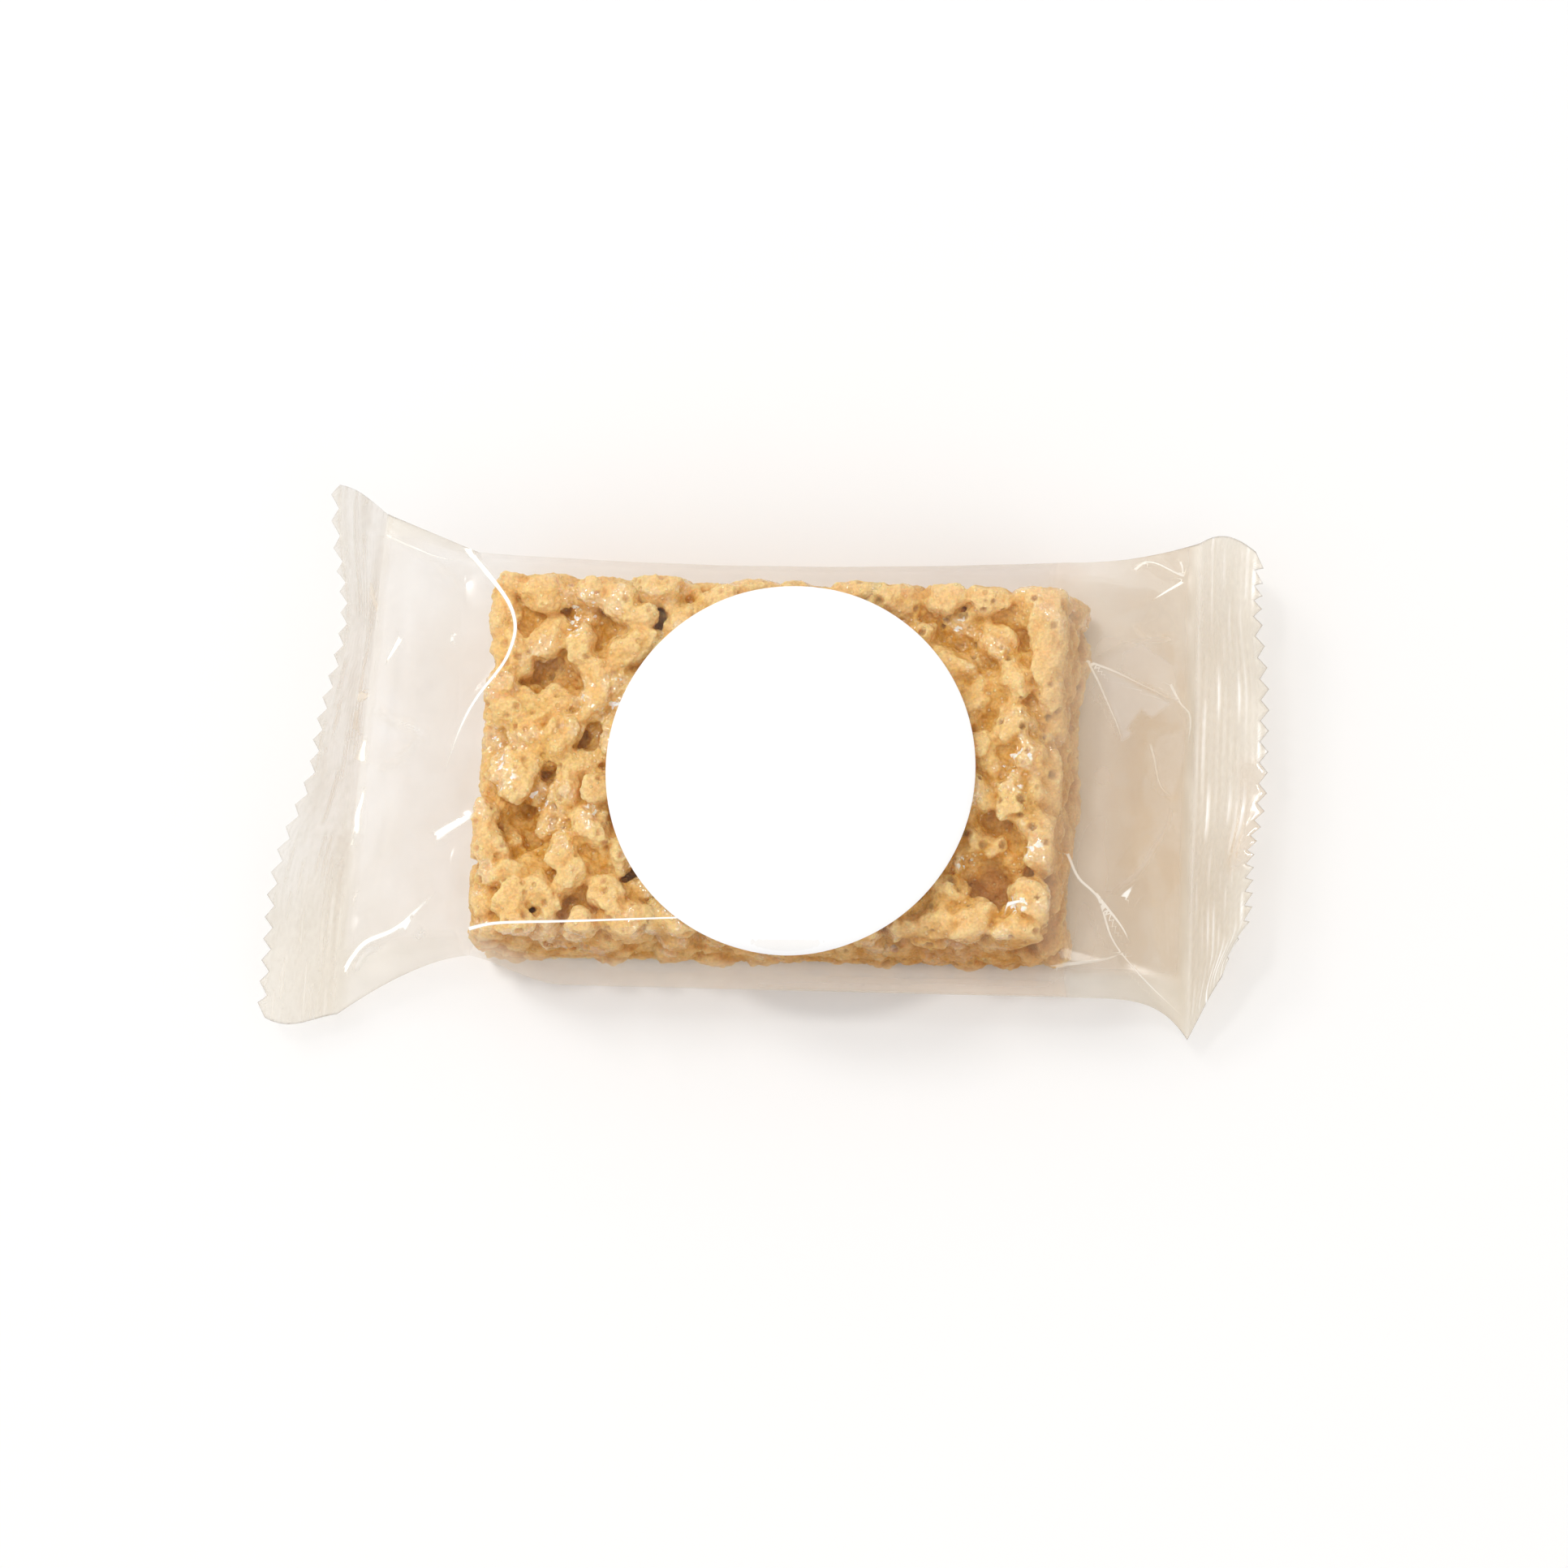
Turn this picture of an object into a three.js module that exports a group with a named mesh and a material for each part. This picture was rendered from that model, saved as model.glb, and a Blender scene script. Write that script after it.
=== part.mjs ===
// A puffed rice treat in a clear flow-wrap pack: the sealed pillow pack with its
// crimped, zig-zag cut end fins, and the round paper label on top of it.
// Millimetres, +X along the pack, +Y to the back, +Z up, base on z = 0.
import * as THREE from "three";

// Driving dimensions, millimetres.
const FIN_WIDTH = 8.5; // crimped band, from the root of the fin to its cut edge
const FIN_THICKNESS = 0.4;
const TOOTH_DEPTH = 0.9;
const TEETH = 24;
const RIDGE_HEIGHT = 0.13; // crimp ridges, to each side of the fin's middle
const BODY_LEFT = -30.5; // where the film leaves the treat
const BODY_RIGHT = 32.0;
const TOP_HEIGHT = 14.4;
const EDGE_HEIGHT = 6.0; // the side edges, halfway up the pack
const SHOULDER_INSET = 3.4;
const HEEL_INSET = 3.6;
const CORNER_ROUNDING = 0.03; // share of the section that a corner is spread over
const LABEL_RADIUS = 19.05;
const LABEL_THICKNESS = 0.3;
const LABEL_GAP = 0.3;
const LABEL_CENTRE = new THREE.Vector2(4.1, -2.2);

// Columns of the film from end to end, and rows across each face.
const FIN_STEPS = 10;
const PANEL_STEPS = 8;
const BODY_STEPS = 8;
const BODY_CROWDING = 1.9; // above 1 the body's columns crowd to its left end
const ROWS = 2 * TEETH;

const { lerp, smoothstep, degToRad, clamp } = THREE.MathUtils;
const rise = (value, start, length) => smoothstep(value, start, start + length);

// Side edges of the pack in plan: the back one is waisted, and the front one is
// drawn in to the corner of the treat near the left end.
const backEdge = (x) => 20.9 - 0.015 * x + 1.25 * ((x - 5) / 35) ** 2;
const frontEdge = (x) => -24.4 - 0.018 * x + 2.95 * rise(-x, 20.5, 11);

// Each end: the root line of the fin from back (f = 0) to front (f = 1), how late the
// panel spreads to it, the fin's pitch above level in degrees, the share of its width
// that shows where its corner is drawn in, and how far its corners are shifted.
const LEFT_END = {
  side: -1,
  back: new THREE.Vector3(-41.1, 26.9, 4.6),
  front: new THREE.Vector3(-45.0, -26.6, 3.2),
  bow: 0.8,
  spread: (f) => lerp(1, 1.6, f),
  pitch: (f) => 66 + 22 * rise(f, 0, 0.25) - 14 * rise(f, 0.25, 0.25) - 66 * rise(f, 0.5, 0.38),
  reach: () => 1,
  cornerShift: (f, out) => {
    const back = 1.8 * Math.sin((Math.PI / 2) * out) * rise(-f, -0.14, 0.14);
    const front = 1.15 * Math.sin(Math.PI * out ** 1.4) * rise(f, 0.88, 0.12);
    return back - front;
  },
};
const RIGHT_END = {
  side: 1,
  back: new THREE.Vector3(45.4, 23.1, 4.4),
  front: new THREE.Vector3(44.3, -28.7, 4.0),
  bow: 0.9,
  spread: (f) => lerp(1.9, 4.7, f),
  pitch: (f) => 43 - 14 * rise(f, 0.15, 0.2) + 15 * rise(f, 0.5, 0.2),
  reach: (f) => 1 - 0.37 * rise(f, 0.87, 0.13),
  cornerShift: (f, out) => {
    const back = out * (2.9 - 5.7 * out) * rise(-f, -0.2, 0.2);
    const front = 7 * out * rise(f, 0.5, 0.5);
    return back + front;
  },
};

// Folds of the top film, as creases that run through a few points in plan.
const FOLDS = [
  { height: 0.7, width: 1.1, points: [[-29.5, 20.8], [-26.2, 16.6], [-24.4, 12.2], [-26.6, 7.4], [-32.5, 0.3]] },
  { height: 0.8, width: 1.2, points: [[-43.6, -23.0], [-40.8, -20.0], [-34.0, -14.8]] },
  { height: 0.8, width: 1.2, points: [[33.6, 10.2], [38.0, 7.8], [42.6, 5.4]] },
  { height: 0.7, width: 1.1, points: [[33.6, 10.2], [35.6, 4.4], [38.0, 1.6], [41.2, 3.0]] },
  { height: 0.7, width: 1.1, points: [[41.6, -3.4], [40.6, -8.8], [36.4, -13.6]] },
  { height: 0.9, width: 1.2, points: [[33.4, -13.4], [37.6, -19.4], [43.4, -26.4]] },
  { height: 0.6, width: 1.1, points: [[36.0, 19.4], [41.6, 16.2], [44.6, 17.6]] },
];

function crease({ points, height, width }) {
  const flat = points.map(([x, y]) => new THREE.Vector3(x, y, 0));
  const run = new THREE.CatmullRomCurve3(flat).getSpacedPoints(24);
  return { run, height, width };
}
const CREASES = FOLDS.map(crease);

function foldLift(x, y) {
  const here = new THREE.Vector3(x, y, 0);
  return Math.max(0, ...CREASES.map(({ run, height, width }) => {
    const distance = Math.min(...run.map((point) => point.distanceTo(here)));
    return height * Math.exp(-((distance / width) ** 2));
  }));
}

// Point of an open path of corners, at a share of its length.
function along(corners, share) {
  const lengths = corners.slice(1).map((corner, k) => corner.distanceTo(corners[k]));
  let left = share * lengths.reduce((sum, length) => sum + length);
  let k = 0;
  while (k < lengths.length - 1 && left > lengths[k]) {
    left -= lengths[k];
    k += 1;
  }
  return corners[k].clone().lerp(corners[k + 1], left / lengths[k]);
}

// Section of the pack around the treat, from its back edge to its front edge, over
// the top or under the base. Averaging over a short stretch rounds its corners.
function bodySection(x, f, top) {
  const path = (height, inset) => [
    new THREE.Vector2(backEdge(x), EDGE_HEIGHT),
    new THREE.Vector2(backEdge(x) - inset, height),
    new THREE.Vector2(frontEdge(x) + inset, height),
    new THREE.Vector2(frontEdge(x), EDGE_HEIGHT),
  ];
  const over = path(TOP_HEIGHT, SHOULDER_INSET);
  const under = path(0, HEEL_INSET);
  const [own, other] = top ? [over, under] : [under, over];
  const samples = 9;
  const sum = new THREE.Vector2();
  for (let k = 0; k < samples; k += 1) {
    const g = f + CORNER_ROUNDING * ((2 * k) / (samples - 1) - 1);
    const past = g < 0 || g > 1;
    sum.add(past ? along(other, g < 0 ? -g : 2 - g) : along(own, g));
  }
  return new THREE.Vector3(x, sum.x / samples, sum.y / samples);
}

// Point of a fin at a distance out from its root. The outer part of the fin curls
// back towards level.
function finPoint(end, f, distance, offset) {
  const point = end.back.clone().lerp(end.front, f);
  point.z += end.bow * Math.sin(Math.PI * f);
  const length = distance * end.reach(f);
  const steps = 8;
  let angle = 0;
  for (let k = 0; k < steps; k += 1) {
    const out = ((k + 0.5) / steps) * (distance / FIN_WIDTH);
    angle = degToRad(end.pitch(f)) * lerp(1, 0.45, clamp((out - 0.55) / 0.45, 0, 1));
    point.x += (end.side * Math.cos(angle) * length) / steps;
    point.z += (Math.sin(angle) * length) / steps;
  }
  point.y += end.cornerShift(f, distance / FIN_WIDTH);
  point.x -= end.side * Math.sin(angle) * offset;
  point.z += Math.cos(angle) * offset;
  return point;
}

// Fin skin: `step` counts ridges out from the root, and the last one is cut zig-zag.
// The ridges die away at the fin's two side edges.
function finSkin(end, step, row, top) {
  const f = row / ROWS;
  const cutBack = step === FIN_STEPS && row % 2 === 1 ? TOOTH_DEPTH : 0;
  const distance = (FIN_WIDTH * step) / FIN_STEPS - cutBack;
  const flat = step === 0 || step === FIN_STEPS;
  const ridge = flat ? 0 : RIDGE_HEIGHT * (step % 2 ? 1 : -1) * Math.min(1, 12 * f, 12 * (1 - f));
  const half = (FIN_THICKNESS / 2) * (top ? 1 : -1);
  return finPoint(end, f, distance, ridge + half);
}

// End panel: the film runs straight from the end of the treat to the fin's root.
function panelSkin(end, bodyX, share, row, top) {
  const section = bodySection(bodyX, row / ROWS, top);
  const root = finSkin(end, 0, row, top);
  const point = section.clone().lerp(root, share);
  point.y = lerp(section.y, root.y, share ** end.spread(row / ROWS));
  return point;
}

const COLUMNS = 2 * (FIN_STEPS + PANEL_STEPS) + BODY_STEPS;

// The whole skin, by column from the left cut edge and by row from the back.
function skin(column, row, top) {
  const mirrored = column > COLUMNS / 2;
  const end = mirrored ? RIGHT_END : LEFT_END;
  const inward = mirrored ? COLUMNS - column : column;
  if (inward <= FIN_STEPS) {
    return finSkin(end, FIN_STEPS - inward, row, top);
  }
  const bodyX = mirrored ? BODY_RIGHT : BODY_LEFT;
  const panel = inward - FIN_STEPS;
  if (panel < PANEL_STEPS) {
    return panelSkin(end, bodyX, 1 - panel / PANEL_STEPS, row, top);
  }
  const share = ((column - FIN_STEPS - PANEL_STEPS) / BODY_STEPS) ** BODY_CROWDING;
  return bodySection(lerp(BODY_LEFT, BODY_RIGHT, share), row / ROWS, top);
}

// Height of the top film over a point in plan, found by halving the section.
function topHeight(x, y) {
  let [low, high] = [0, 1];
  for (let k = 0; k < 24; k += 1) {
    const f = (low + high) / 2;
    if (bodySection(x, f, true).y > y) {
      low = f;
    } else {
      high = f;
    }
  }
  return bodySection(x, low, true).z;
}

function wrapperGeometry() {
  const geometry = new THREE.BoxGeometry(1, 1, 1, COLUMNS, ROWS, 1);
  const place = geometry.attributes.position;
  for (let i = 0; i < place.count; i += 1) {
    const column = Math.round((place.getX(i) + 0.5) * COLUMNS);
    const row = Math.round((0.5 - place.getY(i)) * ROWS);
    const top = place.getZ(i) > 0;
    const point = skin(column, row, top);
    const inFin = column <= FIN_STEPS || column >= COLUMNS - FIN_STEPS;
    if (top && !inFin && row > 0 && row < ROWS) {
      point.z += foldLift(point.x, point.y);
    }
    place.setXYZ(i, point.x, point.y, point.z);
  }
  geometry.computeVertexNormals();
  return geometry;
}

// The label is a disc that lies along the top film and bends down over its shoulder.
function labelGeometry() {
  const rings = [0, 0.5, 0.8, 0.87, 0.94, 1].map((share) => share * LABEL_RADIUS);
  const over = rings.map((radius) => new THREE.Vector2(radius, LABEL_THICKNESS));
  const under = rings.map((radius) => new THREE.Vector2(radius, 0));
  const geometry = new THREE.LatheGeometry([...under, ...over.reverse()], 40);
  geometry.rotateX(Math.PI / 2);
  const place = geometry.attributes.position;
  for (let i = 0; i < place.count; i += 1) {
    const x = place.getX(i) + LABEL_CENTRE.x;
    const y = place.getY(i) + LABEL_CENTRE.y;
    place.setXYZ(i, x, y, place.getZ(i) + topHeight(x, y) + LABEL_GAP);
  }
  geometry.computeVertexNormals();
  return geometry;
}

function piece(name, geometry, color, roughness) {
  const material = new THREE.MeshStandardMaterial({ color, roughness, metalness: 0 });
  const mesh = new THREE.Mesh(geometry, material);
  mesh.name = name;
  return mesh;
}

const group = new THREE.Group();
group.add(piece("wrapper", wrapperGeometry(), 0xe9dccb, 0.15));
group.add(piece("label", labelGeometry(), 0xffffff, 0.6));

// The origin is the middle of the base.
const middle = new THREE.Box3().setFromObject(group).getCenter(new THREE.Vector3());
group.position.set(-middle.x, -middle.y, 0);
group.updateMatrixWorld(true);

export default group;
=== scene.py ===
"""A puffed rice treat in a clear flow-wrap pack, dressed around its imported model.

Shapes are worked out in millimetres in the pack's own plan, and each finished mesh
is moved onto the frame and scaled to metres as its last step.
"""

import math
import random
from functools import cache
from typing import Callable, NamedTuple

import bmesh
import bpy
from bpy.props import FloatProperty, FloatVectorProperty, IntProperty, PointerProperty
from mathutils import Euler, Matrix, Vector, kdtree
from mathutils.noise import noise


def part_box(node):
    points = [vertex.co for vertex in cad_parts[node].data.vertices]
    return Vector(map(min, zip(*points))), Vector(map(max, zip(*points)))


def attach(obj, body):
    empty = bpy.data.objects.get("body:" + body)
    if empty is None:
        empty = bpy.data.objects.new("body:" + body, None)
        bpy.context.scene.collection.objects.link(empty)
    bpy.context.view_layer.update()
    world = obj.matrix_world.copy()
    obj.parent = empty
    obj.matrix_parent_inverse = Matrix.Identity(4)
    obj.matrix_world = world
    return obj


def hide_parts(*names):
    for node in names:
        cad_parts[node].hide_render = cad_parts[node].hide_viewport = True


bl_info = {
    "name": "Wrapped Rice Treat",
    "version": (1, 0, 0),
    "blender": (4, 5, 0),
    "location": "3D View > Sidebar > Rice Treat",
    "description": "Models a puffed rice treat, its clear flow-wrap pack and its label",
    "category": "Add Mesh",
}

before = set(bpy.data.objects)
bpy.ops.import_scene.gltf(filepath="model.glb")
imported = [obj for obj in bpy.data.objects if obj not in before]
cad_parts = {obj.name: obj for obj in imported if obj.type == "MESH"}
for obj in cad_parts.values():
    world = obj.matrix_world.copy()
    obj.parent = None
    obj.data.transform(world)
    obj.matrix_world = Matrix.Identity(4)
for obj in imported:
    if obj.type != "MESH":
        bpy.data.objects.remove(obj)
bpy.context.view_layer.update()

MM = 0.001
BODY = "root"
LABEL_CENTRE = Vector((4.1, -2.2, 0.0))
LABEL_RADIUS = 19.05
LABEL_SIDES, LABEL_RINGS, LABEL_RIM, LABEL_LIFT = 160, (0, 6, 12, 17), 0.3, 0.06
label_low, label_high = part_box("label")
SHIFT = (label_low + label_high) / 2 / MM - LABEL_CENTRE
SHIFT.z = 0.0


# ------------------------------------------------------------------ settings


class PackSettings(bpy.types.PropertyGroup):
    """Sizes and finish of the film pack."""

    fin_width: FloatProperty(
        name="Fin width", description="Crimped band, from its root to its cut edge",
        default=8.5 * MM, unit="LENGTH")
    fin_thickness: FloatProperty(
        name="Fin thickness", description="Both layers of film at the seal",
        default=0.3 * MM, unit="LENGTH")
    tooth_depth: FloatProperty(
        name="Tooth depth", description="Depth of the zig-zag cut",
        default=0.9 * MM, unit="LENGTH")
    teeth: IntProperty(name="Teeth", description="Teeth along each cut edge", default=24)
    crimp_pitch: FloatProperty(
        name="Crimp pitch", description="Distance between two crimp ridges",
        default=0.8 * MM, unit="LENGTH")
    crimp_height: FloatProperty(
        name="Crimp height", description="Height of a crimp ridge each way",
        default=0.045 * MM, unit="LENGTH")
    pale_film: FloatVectorProperty(
        name="Pale film", description="Colour of the film where its haze is thin",
        subtype="COLOR", default=(0.63, 0.52, 0.37))
    seal_film: FloatVectorProperty(
        name="Seal film", description="Colour of the film where it is sealed and frosted",
        subtype="COLOR", default=(0.58, 0.49, 0.34))
    # Painted shade and warm light: the colour the film takes towards its right, where the
    # treat's shadow and its warm bounced light fall.
    warm_film: FloatVectorProperty(
        name="Warm shade film", description="Colour of the film where its haze is thick",
        subtype="COLOR", default=(0.68, 0.49, 0.27))


class TreatSettings(bpy.types.PropertyGroup):
    """Sizes and colours of the treat."""

    length: FloatProperty(
        name="Length", description="Length of the treat at its base",
        default=62.8 * MM, unit="LENGTH")
    width: FloatProperty(
        name="Width", description="Width of the treat at its base",
        default=39.4 * MM, unit="LENGTH")
    height: FloatProperty(
        name="Height", description="Height of the treat", default=13.5 * MM, unit="LENGTH")
    grain_length: FloatProperty(
        name="Grain length", description="Length of one grain of puffed rice",
        default=6.8 * MM, unit="LENGTH")
    grain_width: FloatProperty(
        name="Grain width", description="Width of one grain of puffed rice",
        default=4.4 * MM, unit="LENGTH")
    rice_light: FloatVectorProperty(
        name="Rice", description="Colour of a pale grain", subtype="COLOR",
        default=(0.82, 0.56, 0.215))
    rice_toasted: FloatVectorProperty(
        name="Toasted rice", description="Colour of a toasted grain", subtype="COLOR",
        default=(0.78, 0.46, 0.13))
    rice_blush: FloatVectorProperty(
        name="Blush", description="Colour of the pinker patches", subtype="COLOR",
        default=(0.90, 0.50, 0.18))
    # Painted light: convex crests are made paler, as though lit.
    rice_dry: FloatVectorProperty(
        name="Lit crest", description="Colour of the lit, palest crests",
        subtype="COLOR", default=(0.93, 0.73, 0.42))
    # Painted shade: the colour inside the pores' dents.
    pore_colour: FloatVectorProperty(
        name="Pore shade", description="Colour inside the grains' small pores",
        subtype="COLOR", default=(0.46, 0.25, 0.07))
    # Painted shade: the colour the treat is darkened towards in its gaps and hollows, in its
    # pits, on its steep sides and towards its right and front.
    gap_colour: FloatVectorProperty(
        name="Gap shade", description="Colour deep between the grains", subtype="COLOR",
        default=(0.64, 0.30, 0.035))


class LabelSettings(bpy.types.PropertyGroup):
    """Size and colour of the label."""

    thickness: FloatProperty(
        name="Thickness", description="Thickness of the paper",
        default=0.12 * MM, unit="LENGTH")
    paper: FloatVectorProperty(
        name="Paper", description="Colour of the paper", subtype="COLOR",
        default=(0.95, 0.95, 0.95))


class StageSettings(bpy.types.PropertyGroup):
    """Camera, light and floor."""

    azimuth: FloatProperty(
        name="Azimuth", description="Where the camera stands, from the front",
        default=math.radians(42), subtype="ANGLE")
    elevation: FloatProperty(
        name="Elevation", description="Height of the camera above level",
        default=math.radians(78.5), subtype="ANGLE")
    distance: FloatProperty(
        name="Distance", description="Camera to the pack", default=0.45, unit="LENGTH")
    view_width: FloatProperty(
        name="View width", description="Width that the picture takes in at the pack",
        default=163.8 * MM, unit="LENGTH")
    floor: FloatVectorProperty(
        name="Floor", description="Colour of the floor", subtype="COLOR",
        default=(0.88, 0.875, 0.87))


# ------------------------------------------------------------- the pack's form

BODY_LEFT, BODY_RIGHT = -30.5, 32.0
TOP_HEIGHT, EDGE_HEIGHT = 14.4, 6.0
SHOULDER_INSET, HEEL_INSET = 3.4, 3.6
CORNER_ROUNDING, CORNER_SAMPLES = 0.03, 9
CURL_STEPS = 8
HALVINGS = 18


def mix(a, b, share):
    return a + (b - a) * share


def clip(value):
    return min(1.0, max(0.0, value))


def rise(value, start, length):
    """0 before start, 1 after start + length, and smooth between."""
    t = clip((value - start) / length)
    return t * t * (3 - 2 * t)


def fade(f, slope):
    """1 across the film, falling to 0 at its back and front edges."""
    return min(1.0, slope * f, slope * (1 - f))


def back_edge(x):
    return 20.9 - 0.015 * x + 1.25 * ((x - 5) / 35) ** 2


def front_edge(x):
    return -24.4 - 0.018 * x + 2.95 * rise(-x, 20.5, 11)


class PackEnd(NamedTuple):
    """One end of the pack: the root line of its fin from back (f = 0) to front (f = 1),
    how late the panel spreads to it, the fin's pitch above level in degrees, the share
    of its width that shows, and how far its corners are shifted."""

    side: int
    back: Vector
    front: Vector
    bow: float
    spread: Callable
    pitch: Callable
    reach: Callable
    corner_shift: Callable


def left_corners(f, out):
    back = 1.8 * math.sin(math.pi / 2 * out) * rise(-f, -0.14, 0.14)
    front = 1.15 * math.sin(math.pi * out ** 1.4) * rise(f, 0.88, 0.12)
    return back - front


def right_corners(f, out):
    back = out * (2.9 - 5.7 * out) * rise(-f, -0.2, 0.2)
    front = 7 * out * rise(f, 0.5, 0.5)
    return back + front


LEFT_END = PackEnd(
    side=-1, back=Vector((-41.1, 26.9, 4.6)), front=Vector((-45.0, -26.6, 3.2)), bow=0.8,
    spread=lambda f: mix(1, 1.6, f),
    pitch=lambda f: (66 + 22 * rise(f, 0, 0.25) - 14 * rise(f, 0.25, 0.25)
                     - 66 * rise(f, 0.5, 0.38)),
    reach=lambda f: 1, corner_shift=left_corners)
RIGHT_END = PackEnd(
    side=1, back=Vector((45.4, 23.1, 4.4)), front=Vector((44.3, -28.7, 4.0)), bow=0.9,
    spread=lambda f: mix(1.9, 4.7, f),
    pitch=lambda f: 43 - 14 * rise(f, 0.15, 0.2) + 15 * rise(f, 0.5, 0.2),
    reach=lambda f: 1 - 0.37 * rise(f, 0.87, 0.13), corner_shift=right_corners)


class Path:
    """An open path of corners, walked by share of its length."""

    def __init__(self, corners):
        self.corners = corners
        self.lengths = [math.dist(a, b) for a, b in zip(corners, corners[1:])]
        self.total = sum(self.lengths)

    def at(self, share):
        left = share * self.total
        k = 0
        while k < len(self.lengths) - 1 and left > self.lengths[k]:
            left -= self.lengths[k]
            k += 1
        a, b = self.corners[k], self.corners[k + 1]
        t = left / self.lengths[k]
        return mix(a[0], b[0], t), mix(a[1], b[1], t)


@cache
def body_paths(x):
    """The paths over and under the pack at x, from its back edge to its front one."""
    back, front = back_edge(x), front_edge(x)
    return [Path([(back, EDGE_HEIGHT), (back - inset, height),
                  (front + inset, height), (front, EDGE_HEIGHT)])
            for height, inset in ((TOP_HEIGHT, SHOULDER_INSET), (0.0, HEEL_INSET))]


def body_section(x, f, top):
    """Point of the section around the treat. Averaging rounds its corners."""
    own, other = body_paths(x)[::1 if top else -1]
    y = z = 0.0
    for k in range(CORNER_SAMPLES):
        g = f + CORNER_ROUNDING * (2 * k / (CORNER_SAMPLES - 1) - 1)
        if g < 0:
            point = other.at(-g)
        elif g > 1:
            point = other.at(2 - g)
        else:
            point = own.at(g)
        y += point[0]
        z += point[1]
    return Vector((x, y / CORNER_SAMPLES, z / CORNER_SAMPLES))


def fin_point(end, width, f, distance, offset):
    """Point of a fin at a distance out from its root, raised by offset off its middle."""
    point = end.back.lerp(end.front, f)
    point.z += end.bow * math.sin(math.pi * f)
    step = distance * end.reach(f) / CURL_STEPS
    for k in range(CURL_STEPS):
        out = (k + 0.5) / CURL_STEPS * distance / width
        curl = mix(1.0, 0.45, clip((out - 0.55) / 0.45))
        angle = math.radians(end.pitch(f)) * curl
        point.x += end.side * math.cos(angle) * step
        point.z += math.sin(angle) * step
    point.y += end.corner_shift(f, distance / width)
    point.x -= end.side * math.sin(angle) * offset
    point.z += math.cos(angle) * offset
    return point


def top_height(x, y):
    """Height of the top film over a point in plan, found by halving the section."""
    low, high = 0.0, 1.0
    for _ in range(HALVINGS):
        f = (low + high) / 2
        if body_section(x, f, True).y > y:
            low = f
        else:
            high = f
    return body_section(x, low, True).z


# ------------------------------------------------------------------- helpers


def run_through(points, step):
    """Points about a step apart along a smooth run through a few points in plan."""
    knots = [Vector(p) for p in points]
    knots = [2 * knots[0] - knots[1]] + knots + [2 * knots[-1] - knots[-2]]
    found = []
    for a, b, c, d in zip(knots, knots[1:], knots[2:], knots[3:]):
        count = max(2, round((c - b).length / step))
        for k in range(count):
            t = k / count
            found.append(0.5 * (2 * b + (c - a) * t + (2 * a - 5 * b + 4 * c - d) * t ** 2
                                + (3 * b - a - 3 * c + d) * t ** 3))
    found.append(knots[-2])
    return found


def tree_of(points):
    """A search tree of points, each under its number."""
    tree = kdtree.KDTree(len(points))
    for k, point in enumerate(points):
        tree.insert(point, k)
    tree.balance()
    return tree


def softened(bm, verts, rounds, upright=False):
    """Smooths vertices some rounds over, along all axes or only up and down."""
    for _ in range(rounds):
        bmesh.ops.smooth_vert(bm, verts=verts, factor=0.5, use_axis_x=not upright,
                              use_axis_y=not upright, use_axis_z=True)


def placed(name, data):
    """A new object of some data, linked into the scene."""
    holder = bpy.data.objects.new(name, data)
    bpy.context.scene.collection.objects.link(holder)
    return holder


def mesh_of(name, bm, material=None):
    """The mesh data of a finished bmesh, which is freed."""
    mesh = bpy.data.meshes.new(name)
    bm.to_mesh(mesh)
    bm.free()
    if material:
        mesh.materials.append(material)
    return mesh


def onto_frame(bm):
    """Moves a mesh made in plan millimetres onto the frame, in metres."""
    bmesh.ops.transform(
        bm, matrix=Matrix.Diagonal((MM, MM, MM, 1)) @ Matrix.Translation(SHIFT),
        verts=bm.verts)


def finish_piece(name, bm, material, slot, *nodes):
    """Makes a smooth piece of a mesh in place, and hangs it on the frame."""
    for face in bm.faces:
        face.smooth = True
    piece = placed(name, mesh_of(name, bm, material))
    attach(piece, BODY)
    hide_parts(*nodes)


# ----------------------------------------------------------------- materials


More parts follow.
